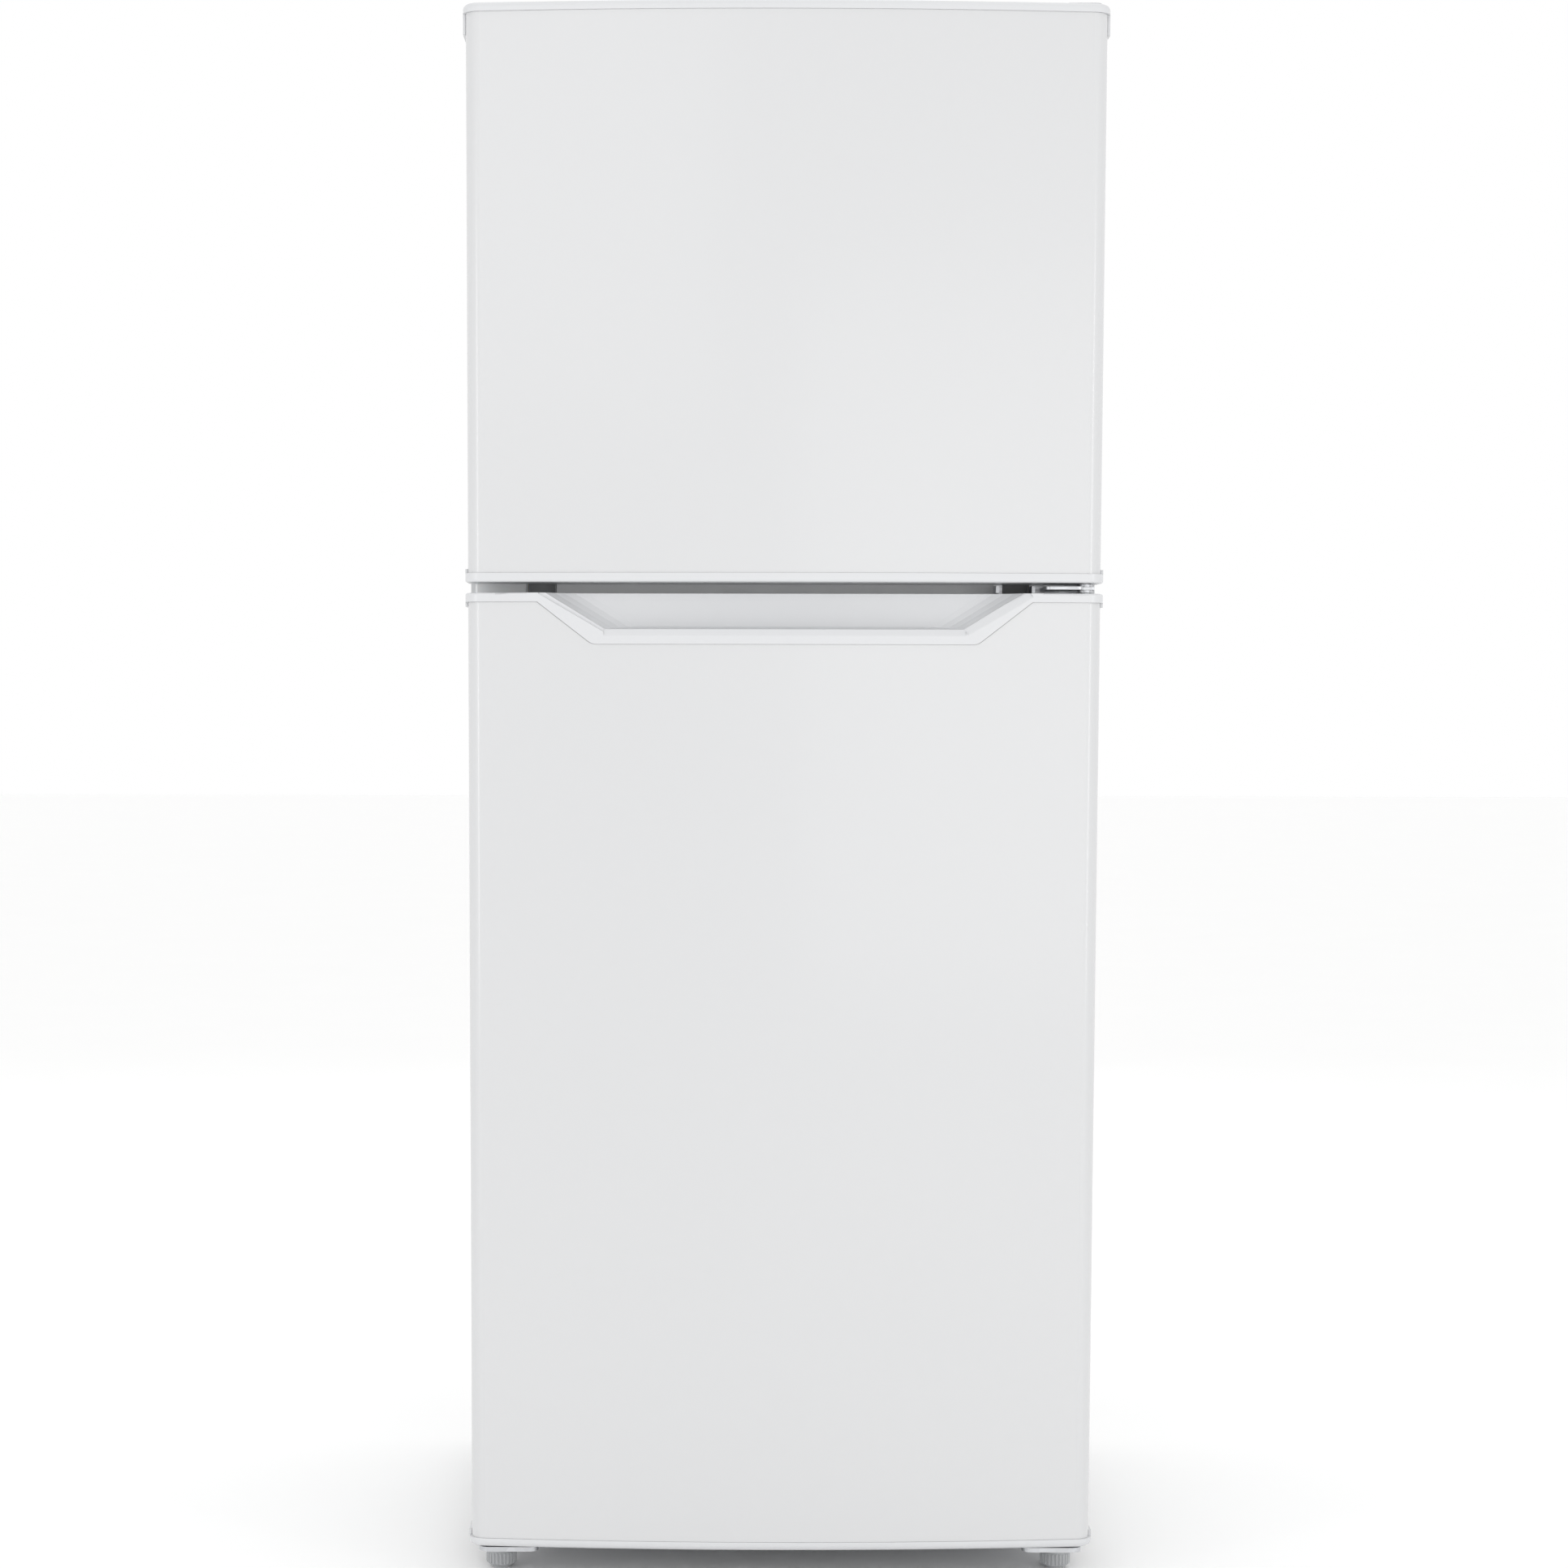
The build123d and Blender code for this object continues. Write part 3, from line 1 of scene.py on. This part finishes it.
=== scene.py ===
import bmesh
import bpy
import json
import math
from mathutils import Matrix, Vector


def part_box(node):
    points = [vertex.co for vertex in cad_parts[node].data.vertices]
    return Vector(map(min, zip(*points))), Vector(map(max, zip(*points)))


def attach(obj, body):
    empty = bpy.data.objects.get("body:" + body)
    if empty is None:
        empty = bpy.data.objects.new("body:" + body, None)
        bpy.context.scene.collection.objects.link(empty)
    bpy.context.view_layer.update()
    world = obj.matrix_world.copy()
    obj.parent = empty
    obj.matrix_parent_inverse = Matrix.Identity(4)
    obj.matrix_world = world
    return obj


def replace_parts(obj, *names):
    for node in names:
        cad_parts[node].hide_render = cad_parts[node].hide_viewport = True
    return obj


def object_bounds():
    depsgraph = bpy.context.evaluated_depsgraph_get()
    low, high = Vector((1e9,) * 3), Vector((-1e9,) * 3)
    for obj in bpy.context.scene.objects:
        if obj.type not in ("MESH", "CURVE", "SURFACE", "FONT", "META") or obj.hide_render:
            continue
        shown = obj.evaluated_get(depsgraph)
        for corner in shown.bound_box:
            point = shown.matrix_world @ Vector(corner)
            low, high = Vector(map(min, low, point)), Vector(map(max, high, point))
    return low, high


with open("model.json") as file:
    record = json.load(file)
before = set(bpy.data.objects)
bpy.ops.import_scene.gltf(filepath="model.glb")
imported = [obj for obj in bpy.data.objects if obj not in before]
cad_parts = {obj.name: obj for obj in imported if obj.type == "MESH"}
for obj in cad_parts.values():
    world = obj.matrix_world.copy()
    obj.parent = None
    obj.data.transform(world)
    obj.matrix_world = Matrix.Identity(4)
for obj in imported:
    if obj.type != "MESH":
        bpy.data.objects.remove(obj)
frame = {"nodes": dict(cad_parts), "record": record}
cad_low, cad_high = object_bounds()

NOISE_SPAN = (0.3, 0.7)  # where nearly all of a noise texture's values lie
EDGE_SPAN = (1.0, 0.8)  # cosine of a bevelled normal to the face's own, from plain face to edge
EDGE_HIGHLIGHT_GAIN = 1.25  # how much paler moulded plastic is painted at its edges: a painted highlight
GRAIN_SHADE = 0.985  # the stage's grain: how much darker,
GRAIN_ROUGH = 0.05  # and how much rougher or smoother, it gets

# ======================= materials =======================


class Surface:
    """A Principled material under construction, with short calls for its usual nodes."""

    def __init__(self, name, rough=0.4, metal=0.0, **sockets):
        self.material = bpy.data.materials.new(name)
        self.material.use_nodes = True
        self.tree = self.material.node_tree
        self.shader = self.tree.nodes["Principled BSDF"]
        self.set("Roughness", rough)
        self.set("Metallic", metal)
        for socket, value in sockets.items():
            self.set(socket.replace("_", " "), value)
        self.coords = self.node("ShaderNodeTexCoord")
        self.place = self.coords.outputs["Object"]

    def set(self, socket, value):
        self.shader.inputs[socket].default_value = value

    def node(self, kind, **settings):
        made = self.tree.nodes.new(kind)
        for key, value in settings.items():
            setattr(made, key, value)
        return made

    def link(self, source, target):
        self.tree.links.new(source, target)

    def stretched(self, scale):
        """Object coordinates scaled apart along each axis."""
        mapping = self.node("ShaderNodeMapping")
        mapping.inputs["Scale"].default_value = scale
        self.link(self.place, mapping.inputs["Vector"])
        return mapping.outputs["Vector"]

    def noise(self, scale, detail=3.0, rough=0.5, along=None):
        made = self.node("ShaderNodeTexNoise")
        made.inputs["Scale"].default_value = scale
        made.inputs["Detail"].default_value = detail
        made.inputs["Roughness"].default_value = rough
        self.link(along or self.place, made.inputs["Vector"])
        return made.outputs["Fac"]

    def cells(self, scale, feature="F1", output="Distance"):
        made = self.node("ShaderNodeTexVoronoi", feature=feature)
        made.inputs["Scale"].default_value = scale
        self.link(self.place, made.inputs["Vector"])
        return made.outputs[output]

    def ramp(self, source, stops):
        """Colour or value along a source, from (place, colour) stops."""
        made = self.node("ShaderNodeValToRGB")
        elements = made.color_ramp.elements
        while len(elements) < len(stops):
            elements.new(0.5)
        for element, (at, value) in zip(elements, stops):
            element.position = at
            element.color = (*value, 1) if isinstance(value, tuple) else (value, value, value, 1)
        self.link(source, made.inputs["Fac"])
        return made.outputs["Color"]

    def mapped(self, source, span, onto):
        """A value moved from one (from, to) range onto another."""
        made = self.node("ShaderNodeMapRange")
        for socket, value in zip(("From Min", "From Max", "To Min", "To Max"), (*span, *onto)):
            made.inputs[socket].default_value = value
        self.link(source, made.inputs["Value"])
        return made.outputs["Result"]

    def edges(self, radius):
        """One on an outer or inner edge, zero on a plain face."""
        bevel = self.node("ShaderNodeBevel", samples=4)
        bevel.inputs["Radius"].default_value = radius
        geometry = self.node("ShaderNodeNewGeometry")
        dot = self.node("ShaderNodeVectorMath", operation="DOT_PRODUCT")
        self.link(bevel.outputs["Normal"], dot.inputs[0])
        self.link(geometry.outputs["Normal"], dot.inputs[1])
        return self.mapped(dot.outputs["Value"], EDGE_SPAN, (0.0, 1.0))

    def blend(self, factor, low, high):
        """Mix of two colours, each a value tuple or another node's output."""
        made = self.node("ShaderNodeMix", data_type="RGBA")
        for socket, value in ((made.inputs[6], low), (made.inputs[7], high)):
            if isinstance(value, tuple):
                socket.default_value = (*value, 1)
            else:
                self.link(value, socket)
        self.link(factor, made.inputs[0])
        return made.outputs[2]

    def colour(self, source):
        self.link(source, self.shader.inputs["Base Color"])

    def roughness(self, source, low, high):
        self.link(self.mapped(source, NOISE_SPAN, (low, high)), self.shader.inputs["Roughness"])

    def bump(self, layers, round_edges=0.0):
        """Stack of height sources, each with its own height in metres."""
        normal = None
        if round_edges:
            bevel = self.node("ShaderNodeBevel", samples=6)
            bevel.inputs["Radius"].default_value = round_edges
            normal = bevel.outputs["Normal"]
        for source, tall, strength in layers:
            made = self.node("ShaderNodeBump")
            made.inputs["Strength"].default_value = strength
            made.inputs["Distance"].default_value = tall
            self.link(source, made.inputs["Height"])
            if normal:
                self.link(normal, made.inputs["Normal"])
            normal = made.outputs["Normal"]
        self.link(normal, self.shader.inputs["Normal"])


def door_paint():
    """Baked enamel on steel: a soft gloss with a faint orange peel and slow waves."""
    s = Surface("door_white", rough=0.3, Coat_Weight=0.35, Coat_Roughness=0.12, Specular_IOR_Level=0.5)
    tint = s.blend(s.noise(1.6, 2), (0.612, 0.616, 0.624), (0.628, 0.631, 0.637))
    # Paler along every edge: a painted highlight.
    s.colour(s.blend(s.edges(0.002), tint, (0.64, 0.643, 0.648)))
    s.roughness(s.noise(9.0, 4), 0.31, 0.325)
    s.bump([(s.noise(2.2, 2), 0.0006, 0.03), (s.noise(420.0, 2), 0.00002, 0.12)])
    return s.material


def cap_plastic():
    """Moulded end caps: warmer white, a fine spark texture and paler edges, a painted highlight."""
    s = Surface("cap_white", rough=0.36, Specular_IOR_Level=0.5, Coat_Weight=0.15, Coat_Roughness=0.2)
    tint = s.blend(s.noise(14.0, 3), (0.625, 0.632, 0.646), (0.642, 0.648, 0.659))
    # Paler along every edge: a painted highlight.
    s.colour(s.blend(s.edges(0.0015), tint, (0.655, 0.66, 0.67)))
    s.roughness(s.noise(60.0, 3), 0.3, 0.42)
    s.bump([(s.cells(1500.0), 0.00003, 0.3), (s.noise(30.0, 2), 0.0001, 0.15)], round_edges=0.0009)
    return s.material


def cabinet_paint():
    """Prepainted sheet of the cabinet: an embossed pebble grain, a little greyer than the doors."""
    s = Surface("cabinet_white", rough=0.42, Specular_IOR_Level=0.45)
    tint = s.blend(s.noise(2.5, 3), (0.60, 0.61, 0.62), (0.635, 0.642, 0.65))
    # Paler along every edge: a painted highlight.
    s.colour(s.blend(s.edges(0.0015), tint, (0.68, 0.685, 0.69)))
    s.roughness(s.noise(25.0, 4), 0.36, 0.5)
    s.bump([(s.noise(1.7, 2), 0.0008, 0.3), (s.cells(420.0, "SMOOTH_F1"), 0.00012, 0.45)], round_edges=0.0008)
    return s.material


def rail_paint_painted_light():
    """White enamel on the rail between the compartments, under the doors' gap, painted far paler than the
    cabinet's same enamel to lift the gap's shade: painted light.
    """
    s = Surface("rail_white", rough=0.34, Specular_IOR_Level=0.5, Coat_Weight=0.2, Coat_Roughness=0.2)
    # Far paler than cabinet_white though it is the same enamel: painted light against the gap's shade. Paler
    # still at the edges: a painted highlight.
    tint = s.blend(s.noise(8.0, 3), (0.85, 0.86, 0.875), (0.88, 0.885, 0.895))
    s.colour(s.blend(s.edges(0.001), tint, (0.90, 0.905, 0.91)))
    s.roughness(s.noise(40.0, 3), 0.28, 0.42)
    s.bump([(s.noise(350.0, 2), 0.00003, 0.3)], round_edges=0.0005)
    return s.material


def plated_steel():
    """Zinc plate: soft spangle, brushed streaks and paler edges, a painted highlight."""
    s = Surface("plated_steel", rough=0.38, metal=1.0)
    spangle = s.cells(105.0, output="Color")
    grey = s.node("ShaderNodeRGBToBW")
    s.link(spangle, grey.inputs[0])
    tint = s.ramp(grey.outputs[0], [(0.0, (0.54, 0.55, 0.57)), (1.0, (0.65, 0.66, 0.68))])
    # Paler along every edge: a painted highlight.
    s.colour(s.blend(s.edges(0.0012), tint, (0.74, 0.74, 0.75)))
    s.roughness(s.noise(90.0, 4, along=s.stretched((1, 14, 14))), 0.28, 0.48)
    s.bump([(s.noise(260.0, 3, along=s.stretched((1, 9, 9))), 0.00003, 0.4)], round_edges=0.0006)
    return s.material


def liner_plastic():
    """Thermoformed polystyrene: glossy, with the sheet's slow ripples."""
    s = Surface("liner_white", rough=0.24, Specular_IOR_Level=0.5, Subsurface_Weight=0.04)
    s.set("Subsurface Scale", 0.002)
    tint = s.blend(s.noise(5.0, 3), (0.83, 0.845, 0.855), (0.87, 0.88, 0.885))
    # Darker along edges and into inner corners: painted shade.
    s.colour(s.blend(s.edges(0.003), tint, (0.80, 0.81, 0.82)))
    s.roughness(s.noise(18.0, 4), 0.225, 0.26)
    s.bump([(s.noise(7.0, 3), 0.0007, 0.25), (s.noise(300.0, 2), 0.00004, 0.25)], round_edges=0.002)
    return s.material


def foam():
    """Polyurethane foam: straw coloured, open cells."""
    s = Surface("foam", rough=0.9, Subsurface_Weight=0.1)
    s.set("Subsurface Scale", 0.004)
    s.colour(s.ramp(s.noise(40.0, 6), [(0.3, (0.62, 0.50, 0.27)), (0.7, (0.80, 0.70, 0.44))]))
    s.roughness(s.noise(80.0, 3), 0.82, 0.97)
    s.bump([(s.cells(650.0), 0.0007, 0.8), (s.noise(45.0, 5), 0.002, 0.4)])
    return s.material


def seal_rubber():
    """Soft PVC gasket: matt, a little translucent, darker in its folds and at its edges: painted shade."""
    s = Surface("seal", rough=0.62, Specular_IOR_Level=0.4, Subsurface_Weight=0.12, Sheen_Weight=0.08)
    s.set("Subsurface Scale", 0.002)
    tint = s.blend(s.noise(30.0, 4), (0.70, 0.715, 0.73), (0.76, 0.77, 0.775))
    # Darker in the folds and along the edges: painted shade.
    s.colour(s.blend(s.edges(0.0012), tint, (0.62, 0.63, 0.635)))
    s.roughness(s.noise(70.0, 4), 0.5, 0.72)
    s.bump([(s.noise(500.0, 3), 0.00006, 0.5), (s.noise(12.0, 3), 0.0006, 0.2)])
    return s.material


def moulded(name, low, high, rough, grain):
    """Plain moulded plastic with a spark texture and paler edges, a painted highlight."""
    s = Surface(name, rough=sum(rough) / 2, Specular_IOR_Level=0.5)
    tint = s.blend(s.noise(35.0, 4), low, high)
    # Paler along every edge: a painted highlight.
    painted_highlight_tone = tuple(min(1.0, EDGE_HIGHLIGHT_GAIN * c) for c in high)
    s.colour(s.blend(s.edges(0.0008), tint, painted_highlight_tone))
    s.roughness(s.noise(90.0, 4), *rough)
    s.bump([(s.cells(grain), 0.00005, 0.5), (s.noise(40.0, 3), 0.0002, 0.2)], round_edges=0.0006)
    return s.material


def compressor_paint():
    """Black stoved paint over a rolled steel dome: runs, dust and a few chips."""
    s = Surface("black_paint", rough=0.35, Coat_Weight=0.3, Coat_Roughness=0.3)
    dust = s.noise(16.0, 6, 0.65)
    chips = s.ramp(s.noise(140.0, 2), [(0.72, 0.0), (0.76, 1.0)])
    tint = s.ramp(dust, [(0.42, (0.012, 0.012, 0.013)), (0.75, (0.06, 0.058, 0.055))])
    s.colour(s.blend(chips, tint, (0.10, 0.09, 0.08)))
    s.roughness(dust, 0.25, 0.6)
    s.bump([(s.noise(120.0, 4), 0.0002, 0.4), (s.noise(9.0, 3), 0.0008, 0.3)], round_edges=0.001)
    return s.material


def clear_glass():
    """Toughened shelf glass with a green body and faint smears."""
    s = Surface("clear_glass", rough=0.03, IOR=1.5, Transmission_Weight=0.96)
    s.colour(s.blend(s.edges(0.002), (0.93, 0.975, 0.955), (0.45, 0.78, 0.66)))
    s.roughness(s.noise(8.0, 6, 0.7), 0.01, 0.09)
    s.bump([(s.noise(3.0, 2), 0.0004, 0.1)])
    return s.material


def clear_plastic():
    """Clear polystyrene bins: a cool tint, flow lines and fine scuffs."""
    s = Surface("clear_plastic", rough=0.1, IOR=1.58, Transmission_Weight=0.86)
    s.colour(s.blend(s.edges(0.0025), (0.86, 0.925, 0.95), (0.74, 0.86, 0.92)))
    s.roughness(s.noise(40.0, 8, 0.75, along=s.stretched((1, 5, 5))), 0.05, 0.22)
    s.bump([(s.noise(14.0, 3), 0.0005, 0.2), (s.noise(700.0, 2), 0.00002, 0.3)], round_edges=0.0012)
    return s.material


def brushed_aluminium():
    """Evaporator fins and tube: rolled aluminium with a light frost."""
    s = Surface("aluminium", rough=0.35, metal=1.0)
    frost = s.noise(70.0, 5)
    s.colour(s.ramp(frost, [(0.35, (0.70, 0.71, 0.72)), (0.75, (0.86, 0.87, 0.88))]))
    s.roughness(frost, 0.25, 0.55)
    s.bump([(s.noise(420.0, 3, along=s.stretched((8, 1, 1))), 0.00004, 0.5)], round_edges=0.0002)
    return s.material


def copper():
    """Drawn copper tube, tarnished in patches."""
    s = Surface("copper", rough=0.3, metal=1.0)
    patches = s.noise(28.0, 6, 0.6)
    stops = [(0.35, (0.68, 0.33, 0.20)), (0.55, (0.52, 0.25, 0.16)), (0.8, (0.26, 0.15, 0.10))]
    s.colour(s.ramp(patches, stops))
    s.roughness(patches, 0.2, 0.5)
    s.bump([(s.noise(300.0, 3, along=s.stretched((1, 6, 6))), 0.00003, 0.4)])
    return s.material


def coated_wire():
    """White dipped coating on the freezer's wire shelf, thicker at the welds."""
    s = Surface("white_wire", rough=0.32, Coat_Weight=0.3, Coat_Roughness=0.15)
    s.colour(s.blend(s.noise(50.0, 4), (0.80, 0.80, 0.785), (0.86, 0.86, 0.85)))
    s.roughness(s.noise(90.0, 3), 0.24, 0.42)
    s.bump([(s.noise(160.0, 3), 0.00015, 0.4)], round_edges=0.001)
    return s.material


MATERIALS = {
    "door_white": door_paint(),
    "cap_white": cap_plastic(),
    "cabinet_white": cabinet_paint(),
    "rail_white": rail_paint_painted_light(),
    "plated_steel": plated_steel(),
    "liner_white": liner_plastic(),
    "foam": foam(),
    "seal": seal_rubber(),
    "grey_plastic": moulded("grey_plastic", (0.40, 0.41, 0.42), (0.47, 0.48, 0.49), (0.45, 0.6), 1300.0),
    "dark_rubber": moulded("dark_rubber", (0.022, 0.022, 0.024), (0.045, 0.045, 0.047), (0.65, 0.85), 900.0),
    "black_paint": compressor_paint(),
    "clear_glass": clear_glass(),
    "clear_plastic": clear_plastic(),
    "aluminium": brushed_aluminium(),
    "copper": copper(),
    "white_wire": coated_wire(),
}

for part in frame["record"]["subparts"]:
    mesh = frame["nodes"][part["node"]].data
    mesh.materials.clear()
    mesh.materials.append(MATERIALS[part["material_slot"]])

# ======================= pieces =======================


def added(name, data):
    """A new object in the scene, from its mesh, lamp or camera data."""
    made = bpy.data.objects.new(name, data)
    bpy.context.scene.collection.objects.link(made)
    return made


def piece(name, shape, slot, body, smooth=True):
    """A new object from a bmesh, with its slot's material, riding on a body."""
    mesh = bpy.data.meshes.new(name)
    bmesh.ops.recalc_face_normals(shape, faces=shape.faces)
    shape.to_mesh(mesh)
    shape.free()
    mesh.materials.append(MATERIALS[slot])
    for face in mesh.polygons:
        face.use_smooth = smooth
    made = added(name, mesh)
    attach(made, body)
    return made


GASKET_BAR = 0.014  # across the section, from the ring's outside to its inside
GASKET_CORNER = 0.016
GASKET_CORNER_STEPS = 8
# A door gasket's section, as (outward, towards the cabinet) shares of its width and
# depth. It goes round the dart side, the bellows and the magnet pocket.
GASKET_SECTION = (
    (0.02, 0.0), (0.0, 0.18), (0.20, 0.24), (0.30, 0.34), (0.16, 0.44), (0.10, 0.54), (0.22, 0.62),
    (0.03, 0.70), (0.0, 0.80), (0.02, 0.94), (0.08, 1.0), (0.30, 0.985), (0.50, 1.0), (0.70, 0.985),
    (0.92, 1.0), (0.98, 0.94), (1.0, 0.80), (0.95, 0.70), (0.78, 0.62), (0.90, 0.54), (0.84, 0.44),
    (0.70, 0.34), (0.80, 0.24), (1.0, 0.18), (0.98, 0.0),
)


def gasket_mesh(node):
    """A soft ring with rounded corners: the section follows a rounded rectangle."""
    low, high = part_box(node)
    mid_x, mid_z = (low.x + high.x) / 2, (low.z + high.z) / 2
    half_x, half_z = (high.x - low.x) / 2, (high.z - low.z) / 2
    shape = bmesh.new()
    rows = []
    for quarter, (sx, sz) in enumerate(((1, 1), (-1, 1), (-1, -1), (1, -1))):
        centre = Vector((mid_x + sx * (half_x - GASKET_CORNER), 0, mid_z + sz * (half_z - GASKET_CORNER)))
        for step in range(GASKET_CORNER_STEPS + 1):
            angle = math.radians(90 * quarter + 90 * step / GASKET_CORNER_STEPS)
            out = Vector((math.cos(angle), 0, math.sin(angle)))
            row = []
            for across, along in GASKET_SECTION:
                at = centre + out * (GASKET_CORNER - GASKET_BAR * (1 - across))
                row.append(shape.verts.new((at.x, low.y + along * (high.y - low.y), at.z)))
            rows.append(row)
    for this, following in zip(rows, rows[1:] + rows[:1]):
        for k in range(len(this)):
            m = (k + 1) % len(this)
            shape.faces.new((this[k], this[m], following[m], following[k]))
    return shape


for door in ("freezer_door", "fridge_door"):
    node = f"{door}_gasket"
    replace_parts(piece(f"{door}_seal", gasket_mesh(node), "seal", door), node)


def open_box(low, high, wall):
    """A box open towards the front, with its own wall thickness."""
    shape = bmesh.new()

    def corners(inset, ends):
        return [shape.verts.new((x, y, z)) for y in ends
                for x in (low.x + inset, high.x - inset) for z in (low.z + inset, high.z - inset)]

    outer = corners(0, (low.y, high.y))
    inner = corners(wall, (low.y, high.y - wall))
    for a, b, c, d in ((4, 5, 7, 6), (0, 1, 5, 4), (2, 6, 7, 3), (0, 4, 6, 2), (1, 3, 7, 5)):
        shape.faces.new([outer[k] for k in (a, b, c, d)])
        shape.faces.new([inner[k] for k in (d, c, b, a)])
    for a, b in ((0, 1), (1, 3), (3, 2), (2, 0)):
        shape.faces.new((outer[a], outer[b], inner[b], inner[a]))
    return shape


# Grey wells behind the rail's two hinge holes, which keep the foam out of sight.
SPARE_WELL = (0.0575, 0.0835)  # from the cabinet's left side
HINGE_WELL = (0.0655, 0.0925)  # from its right side, where the hinge is
WELL_SET_IN = 0.0004
WELL_BACK = 0.0116
WELL_HALF_HEIGHT = 0.0066
WELL_WALL = 0.0008

rail_low, rail_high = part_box("center_rail")
rail_mid = (rail_low.z + rail_high.z) / 2
for name, left, right in (("hinge_well_left", cad_low.x + SPARE_WELL[0], cad_low.x + SPARE_WELL[1]),
                          ("hinge_well_right", cad_high.x - HINGE_WELL[1], cad_high.x - HINGE_WELL[0])):
    low = Vector((left, rail_low.y + WELL_SET_IN, rail_mid - WELL_HALF_HEIGHT))
    high = Vector((right, rail_low.y + WELL_BACK, rail_mid + WELL_HALF_HEIGHT))
    piece(name, open_box(low, high, WELL_WALL), "grey_plastic", "cabinet", smooth=False)

# ======================= stage =======================


def pale(name, colour, rough, grain):
    """Stage material: plain and pale, with a trace of grain."""
    s = Surface(name, rough=rough)
    s.colour(s.blend(s.noise(grain, 3), tuple(GRAIN_SHADE * c for c in colour), colour))
    s.roughness(s.noise(grain * 2, 2), rough - GRAIN_ROUGH, rough + GRAIN_ROUGH)
    return s.material


FLOOR_REACH = 30.0
floor = bpy.data.meshes.new("floor")
floor.from_pydata([(FLOOR_REACH * x, FLOOR_REACH * y, 0) for x, y in ((-1, -1), (1, -1), (1, 1), (-1, 1))],
                  [], [(0, 1, 2, 3)])
floor.materials.append(pale("floor_pale", (0.985, 0.985, 0.982), 0.6, 3.0))
added("floor", floor)


def area_light(name, at, look_at, size, power, colour=(1, 1, 1)):
    """A rectangular lamp aimed at a point: size in metres, power in watts."""
    lamp = bpy.data.lights.new(name, "AREA")
    lamp.shape = "RECTANGLE"
    lamp.size, lamp.size_y = size
    lamp.energy = power
    lamp.color = colour
    made = added(name, lamp)
    made.location = at
    made.rotation_euler = (Vector(look_at) - Vector(at)).to_track_quat("-Z", "Y").to_euler()


FRONT = (0, 0, 0.8)
MIDDLE = (0, 0, 0.75)
area_light("key", (1.15, -3.9, 1.0), FRONT, (2.0, 1.5), 9, (1.0, 0.998, 0.99))
area_light("fill", (-1.15, -3.9, 2.2), FRONT, (2.0, 1.5), 6.5, (0.985, 0.99, 1.0))
for name, side in (("left_strip", -1), ("right_strip", 1)):
    area_light(name, (2.7 * side, -2.9, 1.05), (0, -0.3, 1.0), (0.35, 1.5), 11)
area_light("back_wash", (0, 3.4, 2.4), MIDDLE, (2.6, 1.6), 9)
area_light("top_wash", (0, 0.2, 3.4), MIDDLE, (2.0, 2.0), 5)

world = bpy.data.worlds.new("studio")
world.use_nodes = True
backdrop = world.node_tree.nodes["Background"]
backdrop.inputs["Color"].default_value = (1.0, 1.0, 1.0, 1)
backdrop.inputs["Strength"].default_value = 1.0
bpy.context.scene.world = world
bpy.context.scene.view_settings.view_transform = "Standard"

# ======================= camera =======================

CAMERA_DISTANCE = 3.0  # from the door's face
CAMERA_HEIGHT = 0.835
CAMERA_TILT = 5.0  # degrees down
CAMERA_ROLL = -0.1  # degrees
CAMERA_SIDE = -0.09  # left of the middle
SENSOR_WIDTH = 36.0  # millimetres, as is the focal length
FOCAL_LENGTH = 73.38
LENS_SHIFT = (0.061, 0.1344)  # shares of the picture's width

lens = bpy.data.cameras.new("camera")
lens.sensor_width = SENSOR_WIDTH
lens.lens = FOCAL_LENGTH
lens.shift_x, lens.shift_y = LENS_SHIFT
camera = added("camera", lens)
camera.location = (CAMERA_SIDE, cad_low.y - CAMERA_DISTANCE, CAMERA_HEIGHT)
camera.rotation_euler = (math.radians(90 - CAMERA_TILT), math.radians(CAMERA_ROLL), 0)
bpy.context.scene.camera = camera
